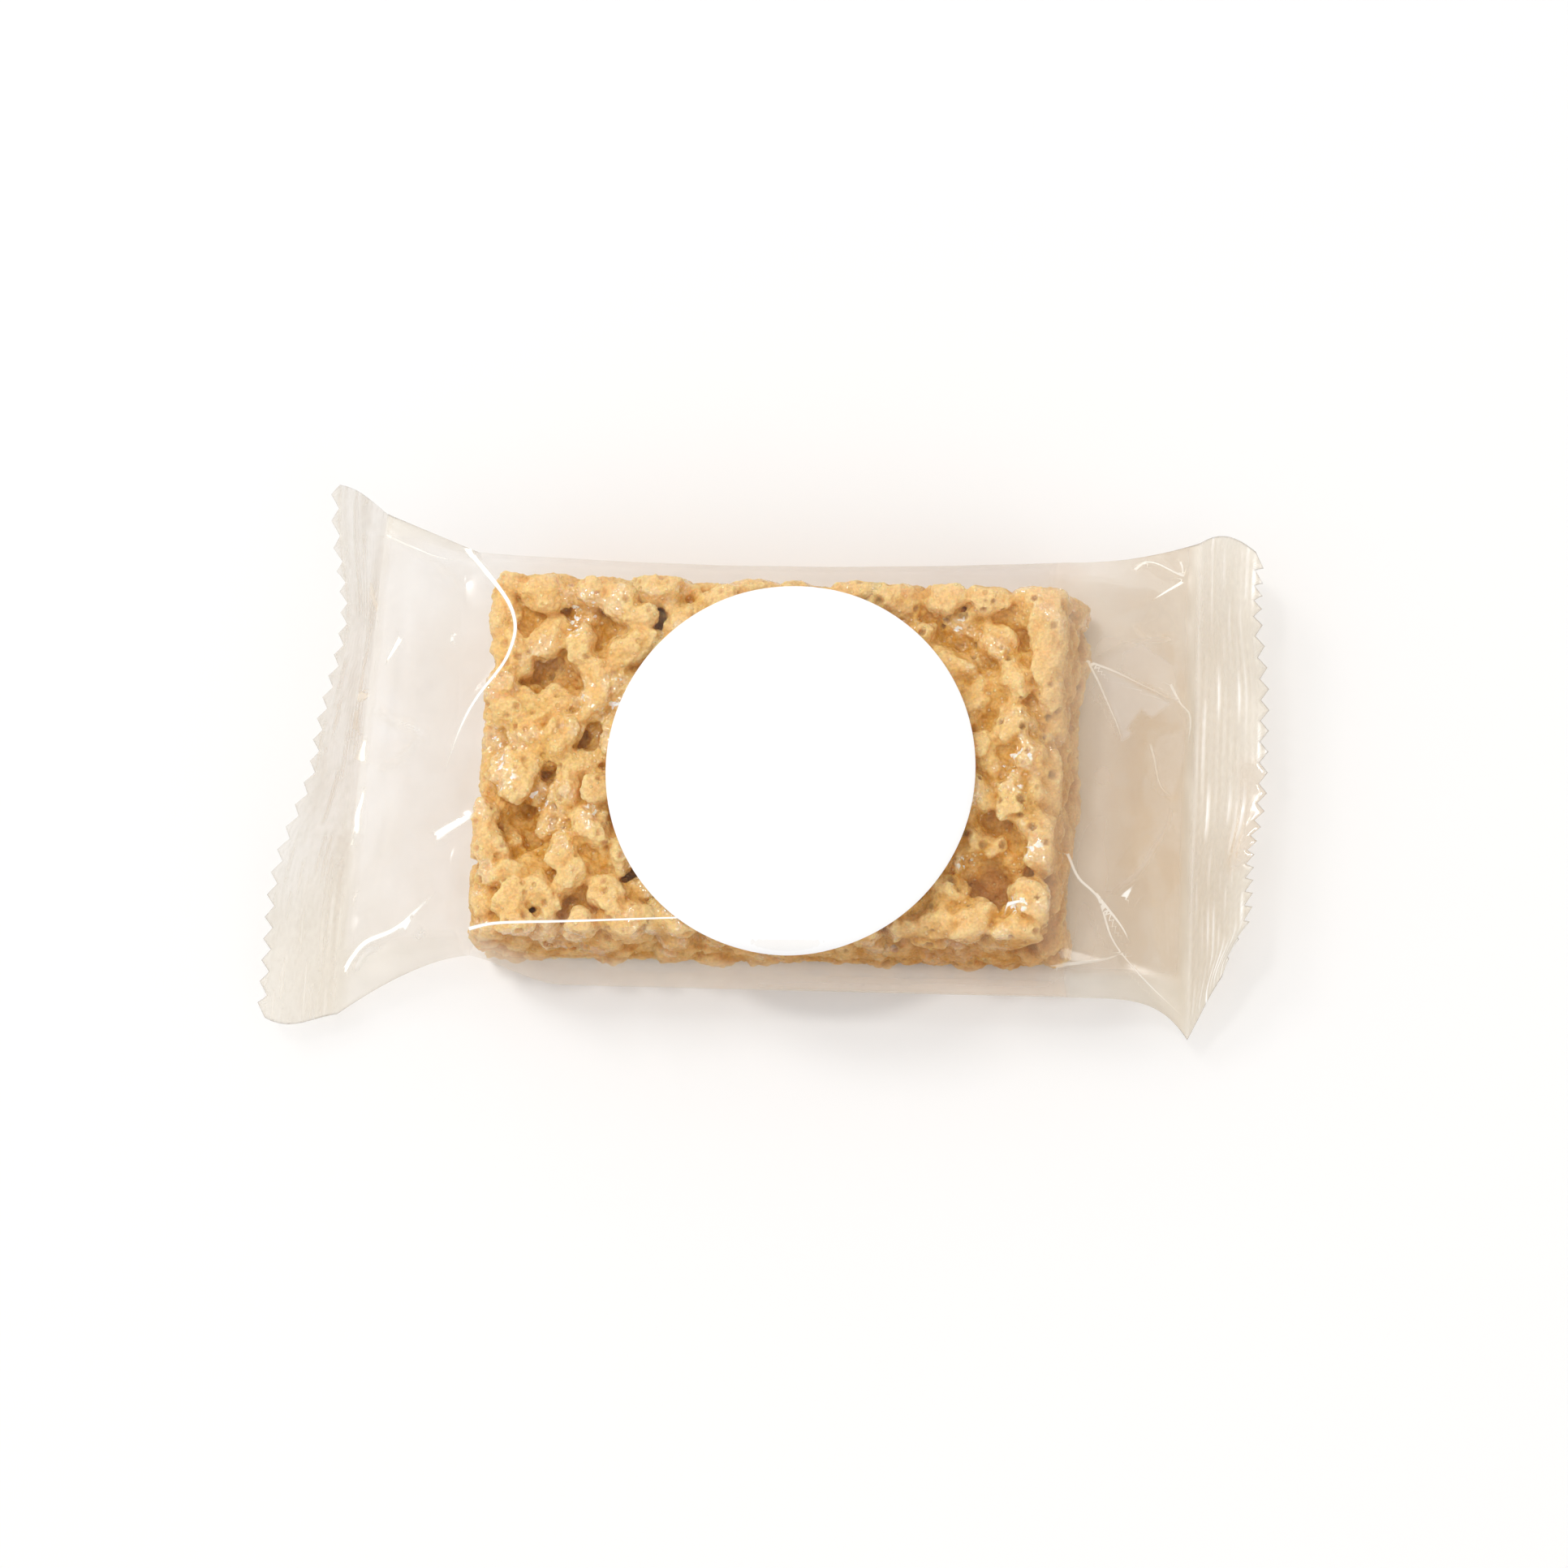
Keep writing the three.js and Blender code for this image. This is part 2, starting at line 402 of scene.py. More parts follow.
class Nodes:
    """Short calls for laying out one node tree."""

    def __init__(self, tree):
        self.tree = tree

    def add(self, kind, inputs=None, **settings):
        node = self.tree.nodes.new(kind)
        for name, value in settings.items():
            setattr(node, name, value)
        for name, value in (inputs or {}).items():
            self.put(value, node.inputs[name])
        return node

    def put(self, value, socket):
        """Links an output to a socket, or sets the socket to a plain value."""
        if isinstance(value, bpy.types.NodeSocket):
            self.tree.links.new(value, socket)
        elif hasattr(value, "__len__"):
            missing = len(socket.default_value) - len(value)
            socket.default_value = tuple(value) + (1.0,) * missing
        else:
            socket.default_value = value

    def coordinates(self):
        return self.add("ShaderNodeTexCoord").outputs["Object"]

    def attribute(self, name):
        return self.add("ShaderNodeAttribute", attribute_name=name).outputs["Fac"]

    def math(self, operation, a, b=0.0, clamp=False):
        node = self.add("ShaderNodeMath", operation=operation, use_clamp=clamp)
        self.put(a, node.inputs[0])
        self.put(b, node.inputs[1])
        return node.outputs[0]

    def times(self, a, b):
        return self.math("MULTIPLY", a, b)

    def plus(self, a, b, clamp=False):
        return self.math("ADD", a, b, clamp)

    def span(self, value, low, high, to_low=0.0, to_high=1.0):
        """Maps low..high onto to_low..to_high, smoothly and within its ends."""
        node = self.add("ShaderNodeMapRange", interpolation_type="SMOOTHSTEP")
        for name, number in (("Value", value), ("From Min", low), ("From Max", high),
                             ("To Min", to_low), ("To Max", to_high)):
            self.put(number, node.inputs[name])
        return node.outputs[0]

    def colour(self, share, a, b):
        node = self.add("ShaderNodeMix", data_type="RGBA")
        self.put(share, node.inputs[0])
        self.put(a, node.inputs[6])
        self.put(b, node.inputs[7])
        return node.outputs[2]

    def tinted(self, colour, tint):
        node = self.add("ShaderNodeVectorMath", {0: colour, 1: tint}, operation="MULTIPLY")
        return node.outputs[0]

    def noise(self, vector, scale, detail=2.0, roughness=0.5):
        node = self.add("ShaderNodeTexNoise", {
            "Vector": vector, "Scale": scale, "Detail": detail, "Roughness": roughness})
        return node.outputs["Fac"]

    def cells(self, vector, scale):
        node = self.add("ShaderNodeTexVoronoi", {"Vector": vector, "Scale": scale})
        return node.outputs["Distance"]

    def spots(self, vector, scale, core, edge, limit):
        """Round spots in those cells of a pattern whose random number is over a limit."""
        cell = self.add("ShaderNodeTexVoronoi", {"Vector": vector, "Scale": scale})
        number = self.add("ShaderNodeSeparateColor", {"Color": cell.outputs["Color"]})
        return self.times(self.span(cell.outputs["Distance"], core, edge, 1.0, 0.0),
                          self.math("GREATER_THAN", number.outputs[0], limit))

    def bump(self, height, distance, strength=1.0):
        node = self.add("ShaderNodeBump", {
            "Height": height, "Distance": distance, "Strength": strength})
        return node.outputs["Normal"]


def mottle_group():
    """Two scales of soft mottling that every finish here shares."""
    group = bpy.data.node_groups.get("Mottle")
    if group:
        return group
    group = bpy.data.node_groups.new("Mottle", "ShaderNodeTree")
    for name, kind, way in (("Vector", "Vector", "INPUT"), ("Scale", "Float", "INPUT"),
                            ("Fine share", "Float", "INPUT"), ("Value", "Float", "OUTPUT")):
        group.interface.new_socket(name=name, in_out=way, socket_type="NodeSocket" + kind)
    n = Nodes(group)
    given = n.add("NodeGroupInput").outputs
    broad = n.noise(given["Vector"], given["Scale"])
    fine = n.noise(given["Vector"], n.times(given["Scale"], 5.3), 3.0, 0.6)
    node = n.add("ShaderNodeMix", data_type="FLOAT")
    n.put(given["Fine share"], node.inputs[0])
    n.put(broad, node.inputs[2])
    n.put(fine, node.inputs[3])
    out = n.add("NodeGroupOutput")
    n.put(node.outputs[0], out.inputs["Value"])
    return group


def new_material(name):
    """An empty node material: its node helper, its shader and the shader's sockets."""
    material = bpy.data.materials.new(name)
    material.use_nodes = True
    n = Nodes(material.node_tree)
    n.tree.nodes.clear()
    shader = n.add("ShaderNodeBsdfPrincipled")
    out = n.add("ShaderNodeOutputMaterial")
    n.put(shader.outputs[0], out.inputs["Surface"])
    return material, n, shader.inputs


def mottle(n, vector, scale, fine_share):
    node = n.add("ShaderNodeGroup", {"Vector": vector, "Scale": scale,
                                     "Fine share": fine_share}, node_tree=mottle_group())
    return node.outputs["Value"]


def rice_material(settings):
    """Golden puffed rice under a thin glossy coat of marshmallow."""
    material, n, shader = new_material("puffed_rice")
    place, gap, wet = n.coordinates(), n.attribute("gap"), n.attribute("wet")
    patches = n.span(mottle(n, place, 420.0, 0.45), 0.3, 0.7)
    toast = n.plus(n.times(n.attribute("toast"), 0.5), n.times(patches, 0.5), clamp=True)
    colour = n.colour(toast, settings.rice_light, settings.rice_toasted)
    blush = n.span(n.noise(place, 750.0, 3.0, 0.6), 0.38, 0.62)
    colour = n.colour(blush, colour, n.colour(0.4, colour, settings.rice_blush))
    # Painted light: the crests are paler.
    colour = n.colour(n.times(n.attribute("crest"), 0.55), colour, settings.rice_dry)
    # Small pits: dented in the bump, and darkened as painted shade.
    pit_with_shade = n.spots(place, 700.0, 0.08, 0.26, 0.62)
    colour = n.colour(n.times(pit_with_shade, 0.35), colour, settings.gap_colour)
    bare = n.span(n.noise(place, 1000.0, 3.0, 0.6), 0.42, 0.60, 1.0, 0.55)
    # Painted shade: darker and browner between the grains and in the hollows.
    colour = n.colour(n.times(n.span(gap, 0.08, 1.0), bare), colour, settings.gap_colour)
    # Painted shade: the pores' dents are darkened.
    colour = n.colour(n.times(n.attribute("pore"), 0.9), colour, settings.pore_colour)
    bead = n.spots(place, 1500.0, 0.12, 0.34, 0.6)
    colour = n.colour(n.times(bead, 0.45), colour, (1.0, 0.84, 0.50))
    speckle = n.span(n.noise(place, 3200.0, 2.0, 0.6), 0.3, 0.7, 0.88, 1.10)
    # Painted shade: steep walls and deep hollows in the right part are darkened and browned.
    shade_dim = n.colour(n.span(n.attribute("wall"), 0.0, 2.4), (1.0, 1.0, 1.0),
                   (0.66, 0.49, 0.30))
    colour = n.tinted(n.tinted(colour, speckle), shade_dim)
    # Painted highlight: white flecks in the sticky patches stand in for glints.
    painted_glint = n.times(n.span(n.noise(place, 1300.0), 0.58, 0.63), n.span(wet, 0.15, 0.5))
    n.put(n.colour(painted_glint, colour, (1.0, 0.98, 0.88)), shader["Base Color"])
    glaze = n.plus(n.noise(place, 230.0, 3.0, 0.55), n.times(wet, 0.25))
    glaze = n.span(glaze, 0.54, 0.61)
    n.put(n.span(glaze, 0.0, 1.0, 0.55, 0.22), shader["Roughness"])
    n.put(n.times(n.span(glaze, 0.0, 1.0, 0.05, 1.0), n.span(gap, 0.3, 0.9, 1.0, 0.3)),
          shader["Coat Weight"])
    for name, value in (("Specular IOR Level", 0.3), ("Coat Roughness", 0.06),
                        ("Coat IOR", 2.1), ("Subsurface Weight", 0.5),
                        ("Subsurface Radius", (0.0026, 0.0012, 0.0004)),
                        ("Subsurface Scale", 1.0)):
        shader[name].default_value = value
    crumb = n.plus(n.noise(place, 950.0, 2.5, 0.55), n.times(n.cells(place, 1500.0), 0.6))
    crumb = n.math("SUBTRACT", crumb, n.times(pit_with_shade, 0.8))
    crumb = n.plus(crumb, n.times(bead, 0.5))
    n.put(n.bump(crumb, 0.0004, 0.8), shader["Normal"])
    domes = n.cells(place, 1200.0)
    n.put(n.bump(n.times(n.times(domes, domes), -4.0), 0.0001), shader["Coat Normal"])
    return material


def film_material(settings):
    """Clear glossy film with a thin haze that whitens along folds and crimps, with painted
    highlights along its crisp lines, which glow faintly, and painted light, shade and
    reflections in its haze.
    """
    material, n, shader = new_material("clear_film")
    place = n.coordinates()
    white, frost = n.attribute("whitening"), n.attribute("frost")
    cloud = n.span(mottle(n, place, 110.0, 0.3), 0.3, 0.7, -0.02, 0.02)
    colour = n.colour(n.attribute("warmth"), settings.pale_film, settings.warm_film)
    colour = n.colour(frost, colour, settings.seal_film)
    colour = n.colour(white, colour, (1.0, 0.99, 0.97))
    # Painted highlight: crisp white lines, partly crease whitening and partly highlight,
    # which glow faintly though no lamp is there.
    line = n.span(n.math("ABSOLUTE", n.attribute("line")), 0.55, 1.3, 1.0, 0.0)
    line = n.times(line, n.attribute("line_white"))
    n.put(n.colour(line, colour, (1.0, 0.99, 0.94)), shader["Base Color"])
    n.put(n.colour(line, (0.0, 0.0, 0.0), (0.2, 0.2, 0.19)), shader["Emission Color"])
    shader["Emission Strength"].default_value = 1.0
    veil = n.plus(n.times(n.attribute("haze"), 0.5), cloud)
    veil = n.plus(veil, n.times(white, 0.7), clamp=True)
    seen = n.plus(veil, n.times(line, 0.95), clamp=True)
    # light reaches what is inside the pack almost as if the film were not there
    shade = n.times(n.add("ShaderNodeLightPath").outputs["Is Shadow Ray"], 0.7)
    n.put(n.times(seen, n.math("SUBTRACT", 1.0, shade)), shader["Alpha"])
    gloss = n.span(n.noise(place, 160.0), 0.3, 0.7, 0.07, 0.16)
    n.put(n.plus(gloss, n.times(frost, 0.55)), shader["Roughness"])
    shader["IOR"].default_value = 3.0
    n.put(n.bump(n.noise(place, 420.0), 0.0001, 0.3), shader["Normal"])
    return material


def matt_material(name, colour, dip, scale, fine_share, rough):
    """A matt finish whose colour dips and whose roughness varies with a soft grain."""
    material, n, shader = new_material(name)
    grain = mottle(n, n.coordinates(), scale, fine_share)
    n.put(n.colour(n.span(grain, 0.2, 0.8), [c * dip for c in colour], colour),
          shader["Base Color"])
    n.put(n.span(grain, 0.2, 0.8, *rough), shader["Roughness"])
    return material, n, shader, grain


def paper_material(settings):
    """Plain matt white paper with a faint fibre."""
    material, n, shader, fibre = matt_material(
        "label_paper", settings.paper, 0.985, 700.0, 0.6, (0.6, 0.75))
    n.put(n.bump(fibre, 0.00003, 0.4), shader["Normal"])
    return material


def floor_material(settings):
    """Pale matt sweep."""
    return matt_material("pale_floor", settings.floor, 0.992, 9.0, 0.4, (0.7, 0.8))[0]


# --------------------------------------------------------------------- stage


# Soft boxes: where each stands, its size in metres, its power in watts and its colour.
LIGHTS = (
    ("window", (-1.25, 1.35, 1.85), 0.66, 15.0, (1.0, 0.985, 0.965)),
    ("spark", (-0.42, 0.62, 1.75), 0.22, 8.0, (1.0, 0.985, 0.965)),
    ("fill", (1.1, -1.3, 1.3), 1.2, 6.0, (1.0, 0.99, 0.97)),
)
SENSOR_WIDTH = 36.0
FLOOR_HALF = 3.0

# Where the camera aims, in millimetres: over the pack's middle at this height, then so
# far right and down in the picture.
AIM_HEIGHT, AIM_RIGHT, AIM_DOWN = 5.0, 2.2, 2.29


class RICETREAT_OT_stage(bpy.types.Operator):
    """Adds the camera, the soft light and the pale floor"""

    bl_idname = "rice_treat.stage"
    bl_label = "Stage"

    def execute(self, context):
        scene = context.scene
        settings = scene.rice_stage
        target = (SHIFT + Vector((0, 0, AIM_HEIGHT))) * MM
        az, el = settings.azimuth, settings.elevation
        away = Vector((math.sin(az) * math.cos(el), -math.cos(az) * math.cos(el),
                       math.sin(el)))
        right = (Vector((1, 0, 0)) - away * away.x).normalized()
        up = away.cross(right)
        lens = bpy.data.cameras.new("camera")
        lens.sensor_width = SENSOR_WIDTH
        lens.lens = SENSOR_WIDTH * settings.distance / settings.view_width
        lens.clip_start = 0.01
        camera = placed("camera", lens)
        framing = right * AIM_RIGHT * MM - up * AIM_DOWN * MM
        turn = Matrix((right, up, away)).transposed().to_4x4()
        camera.matrix_world = Matrix.Translation(
            target + away * settings.distance + framing) @ turn
        scene.camera = camera

        for name, location, size, power, colour in LIGHTS:
            lamp = bpy.data.lights.new(name, "AREA")
            lamp.size = size
            lamp.energy = power
            lamp.color = colour
            holder = placed(name, lamp)
            holder.location = location
            holder.rotation_euler = (
                target - holder.location).to_track_quat("-Z", "Y").to_euler()

        world = bpy.data.worlds.new("studio")
        world.use_nodes = True
        n = Nodes(world.node_tree)
        n.tree.nodes.clear()
        way = n.add("ShaderNodeTexCoord").outputs["Generated"]
        split = n.add("ShaderNodeSeparateXYZ", {"Vector": way})
        share = n.span(split.outputs["X"], -0.9, 0.9)
        colour = n.colour(share, (0.95, 0.97, 1.0), (0.78, 0.75, 0.72))
        sky = n.add("ShaderNodeBackground", {"Color": colour, "Strength": 0.85})
        n.put(sky.outputs[0], n.add("ShaderNodeOutputWorld").inputs["Surface"])
        scene.world = world
        scene.view_settings.view_transform = "Standard"

        bm = bmesh.new()
        bmesh.ops.create_grid(bm, x_segments=4, y_segments=4, size=FLOOR_HALF)
        floor = placed("floor", mesh_of("floor", bm, floor_material(settings)))
        return {"FINISHED"}


# --------------------------------------------------------------------- treat

TOP_CENTRE = Vector((1.3, -0.5))
BASE_CENTRE = Vector((1.8, -1.5))
TREAT_TURN = math.radians(-1.2)
TAPER = Vector((1.5, 1.6))
TREAT_SHEAR = 0.030
CORNER = 1.4
CORE_CUTS = 25

# Grains: the seed of their draws, half the height of one, how far apart two lie, how
# many are thrown, the cell in which neighbours are looked for, how deep one may lie, how
# deep the hollows keep them out, and how near the top, base, ends and sides one is laid
# against them.
SEED = 11
GRAIN_DEPTH, GRAIN_GAP = 2.05, 3.25
LARGE_THROWS, THROWS = 55000, 75000
THROW_CELL = 4.6
DEEPEST_GRAIN, HOLLOW_DEPTH = 3.9, 4.6
NEAR_TOP, NEAR_BASE, NEAR_END, NEAR_SIDE = 3.4, 3.0, 3.2, 3.0

# Spreads that are drawn from: the scale of large and of small grains, how far the small
# ones sink in, how unevenly the top's and the sides' grains lie, and the pores' radii.
LARGE_SCALE, SMALL_SCALE, SMALL_SINK = (0.65, 1.45, 0.85), (0.45, 0.75), (1.2, 3.0)
TOP_SPREAD, SIDE_SPREAD = (-1.8, 0.3, 0.1), (-0.8, 0.5)
PORES, PORE_RADIUS = 250, (0.22, 0.62, 0.28)

# Rounds of smoothing for a skin whose voxels are 1 mm: to ease it, and to find how far
# its narrow and its broad hollows lie below the rest. Finer skins take more.
EASE, NARROW, BROAD = 0.2, 1.1, 6.0

# How far the treat keeps off the floor and under the film.
FLOOR_GAP, FILM_GAP = 0.05, 0.12

# The treat's pieces from left to right: where each ends, and its skin's fineness.
TREAT_PARTS = (("rice_left", -10.5, 0.235), ("rice_middle", 13.0, 0.32),
               ("rice_right", math.inf, 0.235))
CORE_OVERLAP = 1.5

# Open hollows between the grains: half width, and from where to where.
HOLLOWS = [
    (1.8, (-22.6, 8.7), (-20.6, 7.6)), (1.5, (-24.2, -6.2), (-23.2, -8.6)),
    (0.9, (-13.4, -12.3), (-13.0, -12.4)), (1.0, (-18.6, -15.2), (-18.0, -15.5)),
    (0.7, (-20.9, 15.2), (-20.7, 14.4)), (0.9, (-18.8, 2.8), (-18.2, 2.0)),
    (0.6, (-15.5, 2.2), (-15.4, 1.4)), (1.0, (-10.6, 12.4), (-10.0, 12.8)),
    (0.6, (-15.7, 15.0), (-15.2, 12.2)), (0.6, (-22.2, -0.6), (-21.4, -2.4)),
    (0.8, (18.1, 14.4), (18.9, 12.4)), (0.7, (21.0, 10.9), (21.7, 10.6)),
    (0.6, (25.6, 13.2), (28.2, 12.2)), (0.5, (24.0, 10.0), (24.5, 9.6)),
    (1.2, (22.8, -6.4), (24.2, -7.0)), (1.1, (26.3, -7.9), (26.9, -8.6)),
    (0.3, (27.1, -10.0), (27.7, -13.0)), (1.8, (25.2, -15.0), (23.8, -12.6)),
    (0.7, (19.4, -19.3), (20.8, -19.6)), (0.7, (17.0, -17.4), (17.5, -17.3)),
]

# Sticky patches that glisten, with painted glints in them: where they are, and how far they
# reach.
WET_AND_GLINT_PATCHES = [
    (-17.9, 15.2, 1.6), (-18.9, 13.3, 1.3), (-26.7, 1.4, 1.0), (-26.3, -1.0, 1.1),
    (-25.8, -3.0, 1.2), (-13.6, 7.0, 1.0), (-14.3, 4.9, 0.8), (-17.8, 5.1, 0.9),
    (-22.2, -4.8, 1.2), (-16.6, -6.8, 1.2), (27.8, -0.3, 1.3), (26.4, -1.8, 0.9),
    (29.0, -10.2, 1.0), (27.5, -15.8, 1.0), (26.9, -3.7, 0.8), (20.8, 13.3, 0.8),
    (22.0, -11.6, 0.8),
]


def off_hollow(x, y, hollow):
    """How far a point in plan lies outside an open hollow, which is a straight run."""
    half_width, start, end = hollow
    along = Vector(end) - Vector(start)
    away = Vector((x, y)) - Vector(start)
    share = clip(away.dot(along) / along.length_squared)
    return (away - along * share).length - half_width


def flare(x):
    """How the treat's width grows towards its left end."""
    return 1.012 - 0.00065 * x


class Block:
    """The treat's overall block, narrower at the top, with rounded corners."""

    def __init__(self, settings):
        self.height = settings.height / MM
        self.half = Vector((settings.length, settings.width)) / 2 / MM
        self.cos, self.sin = math.cos(TREAT_TURN), math.sin(TREAT_TURN)

    def frame_at(self, z):
        """Centre and half sizes of the block at a height."""
        share = clip(z / self.height)
        return BASE_CENTRE.lerp(TOP_CENTRE, share), self.half - TAPER * share

    def local(self, point):
        """A plan point in the block's own axes."""
        centre, _ = self.frame_at(point.z)
        x, y = point.x - centre.x, point.y - centre.y
        x, y = self.cos * x + self.sin * y, self.cos * y - self.sin * x
        x -= TREAT_SHEAR * y
        return Vector((x, y / flare(x)))

    def world(self, x, y, z):
        """The plan point of a place in the block's own axes, at a height."""
        centre, _ = self.frame_at(z)
        y *= flare(x)
        x += TREAT_SHEAR * y
        return Vector((centre.x + self.cos * x - self.sin * y,
                       centre.y + self.sin * x + self.cos * y, z))

    def side_depth(self, point):
        """How far inside the block's upright sides a point is; below 0 outside."""
        place = self.local(point)
        _, half = self.frame_at(point.z)
        across = Vector((abs(place.x), abs(place.y))) - half + Vector((CORNER, CORNER))
        if across.x > 0 and across.y > 0:
            return CORNER - across.length
        return CORNER - max(across.x, across.y)

    def depth(self, point):
        """How far inside the block a point is; below 0 outside it."""
        return min(self.side_depth(point), self.height - point.z, point.z)

    def pressed(self, point):
        """A point drawn back to the block's faces where it stands out of them."""
        if self.side_depth(point) < 0:
            place = self.local(point)
            _, half = self.frame_at(point.z)
            inner = Vector((min(max(place.x, CORNER - half.x), half.x - CORNER),
                            min(max(place.y, CORNER - half.y), half.y - CORNER)))
            out = place - inner
            place = inner + out.normalized() * (CORNER + 0.3 * (out.length - CORNER))
            point = self.world(place.x, place.y, point.z)
        point.z = min(point.z, self.height + 0.25 * max(0.0, point.z - self.height))
        point.z = max(point.z, FLOOR_GAP)
        return point


class Grain(NamedTuple):
    """One grain of puffed rice: where it lies, how it is turned and its size."""

    centre: Vector
    turn: Matrix
    size: Vector
    seed: float


def lay_grains(block, settings, draw):
    """Grains thrown in one by one near the block's skin, where they fit: large ones
    first, then small ones that settle into what is left between them."""
    grains = []
    cells = {}
    size = Vector((settings.grain_length, settings.grain_width,
                   settings.grain_width)) / 2 / MM
    for throw in range(THROWS):
        small = throw > LARGE_THROWS
        if small:
            scale = draw.uniform(*SMALL_SCALE)
            deep = GRAIN_DEPTH * scale + draw.uniform(*SMALL_SINK)
        else:
            scale = draw.triangular(*LARGE_SCALE)
            deep = GRAIN_DEPTH * scale
        z = draw.uniform(deep, block.height - deep)
        _, half = block.frame_at(z)
        x = draw.uniform(-1, 1) * (half.x - deep)
        y = draw.uniform(-1, 1) * (half.y - deep)
        if not small and block.height - z < NEAR_TOP:
            z = block.height - deep + draw.triangular(*TOP_SPREAD)
        elif z < NEAR_BASE:
            z = deep
        if not small and half.x - abs(x) < NEAR_END:
            x = math.copysign(half.x - deep + draw.uniform(*SIDE_SPREAD), x)
        if not small and half.y - abs(y) < NEAR_SIDE:
            y = math.copysign(half.y - deep + draw.uniform(*SIDE_SPREAD), y)
        place = block.world(x, y, z)
        if block.depth(place) > DEEPEST_GRAIN:
            continue
        if z > block.height - HOLLOW_DEPTH and any(
                off_hollow(place.x, place.y, hollow) < 1.3 * scale for hollow in HOLLOWS):
            continue
        cell = tuple(math.floor(v / THROW_CELL) for v in place)
        near = [other for i in (-1, 0, 1) for j in (-1, 0, 1) for k in (-1, 0, 1)
                for other in cells.get((cell[0] + i, cell[1] + j, cell[2] + k), ())]
        gap = GRAIN_GAP * scale / 2 * (0.8 if small else 1.0)
        if any((other.centre - place).length < gap + GRAIN_GAP * other.size.y / size.y / 2
               for other in near):
            continue
        upright = block.side_depth(place) < block.height - z
        turn = Euler((draw.uniform(-0.5, 0.5), draw.uniform(-0.6, 0.6),
                      draw.uniform(0, math.pi)))
        if upright and abs(half.y - abs(y)) < NEAR_SIDE:
            turn = Euler((draw.uniform(-0.3, 0.3), draw.uniform(-1.5, 1.5), 0))
        elif upright:
            turn = Euler((draw.uniform(-1.5, 1.5), draw.uniform(-0.3, 0.3), math.pi / 2))
        grain = Grain(place, turn.to_matrix(), size * scale, draw.random() * 90)
        grains.append(grain)
        cells.setdefault(cell, []).append(grain)
    return grains


def add_grain(bm, grain, block):
    """One lumpy grain, pressed in where it would stand proud of the block."""
    made = bmesh.ops.create_icosphere(bm, subdivisions=3, radius=1.0)["verts"]
    for vert in made:
        way = vert.co.normalized()
        lump = 1 + 0.38 * noise(way * 1.4 + Vector((grain.seed, 0, 0)))
        lump += 0.25 * noise(way * 3.2 + Vector((0, grain.seed, 0)))
        point = Vector((way.x * grain.size.x,
                        (way.y + 0.16 * way.x ** 2) * grain.size.y,
                        way.z * grain.size.z)) * lump
        vert.co = block.pressed(grain.centre + grain.turn @ point)


def add_core(bm, block, low, high):
    """The sticky inside that the grains sit in, from one x to another, with an uneven
    surface."""
    bmesh.ops.create_cube(bm, size=2.0)
    bmesh.ops.subdivide_edges(bm, edges=bm.edges[:], cuts=CORE_CUTS, use_grid_fill=True)
    for vert in bm.verts:
        z = mix(0.8, block.height, (vert.co.z + 1) / 2)
        _, half = block.frame_at(z)
        inset = mix(0.7, 1.5, rise(z, 1.0, 3.0)) + 1.6 * rise(z, block.height - 6, 4.0)
        x = mix(max(low, inset - half.x), min(high, half.x - inset), (vert.co.x + 1) / 2)
        y = vert.co.y * (half.y - inset)
        point = block.world(x, y, z)
        deeper = max(min(1.6, 0.5 + 0.7 * hollow[0])
                     * rise(-off_hollow(point.x, point.y, hollow), -1.2, 1.2)
                     for hollow in HOLLOWS)
        sunk = mix(2.6, 1.8, rise(point.x, 10, 8)) + deeper
        point.z = min(z, block.height - sunk)
        uneven = 1.2 * noise(point * 0.33) + 0.7 * noise(point * 0.9)
        uneven *= rise(point.z, 1.5, 6.0)
        vert.co = point + vert.co.normalized() * uneven


def remeshed(bm, voxel):
    """The union of everything in a mesh, as one even skin."""
    holder = placed("union", mesh_of("union", bm))
    remesh = holder.modifiers.new("skin", "REMESH")
    remesh.mode = "VOXEL"
    remesh.voxel_size = voxel
    ready = holder.evaluated_get(bpy.context.evaluated_depsgraph_get())
    skin = bmesh.new()
    skin.from_mesh(ready.data)
    mesh = holder.data
    bpy.data.objects.remove(holder)
    bpy.data.meshes.remove(mesh)
    drop_crumbs(skin)
    return skin


def drop_crumbs(skin):
    """Leaves only the largest connected skin of a mesh."""
    left = set(skin.verts)
    shells = []
    while left:
        shell = [left.pop()]
        for vert in shell:
            near = {edge.other_vert(vert) for edge in vert.link_edges} & left
            left -= near
            shell.extend(near)
        shells.append(shell)
    shells.sort(key=len)
    crumbs = [vert for shell in shells[:-1] for vert in shell]
    bmesh.ops.delete(skin, geom=crumbs, context="VERTS")


def hollows(skin, rounds):
    """How far each vertex lies below the skin's own smoothed shape, in millimetres."""
    places = [vert.co.copy() for vert in skin.verts]
    softened(skin, skin.verts, rounds)
    found = []
    for vert, place in zip(skin.verts, places):
        found.append((vert.co - place).dot(vert.normal))
        vert.co = place
    return found


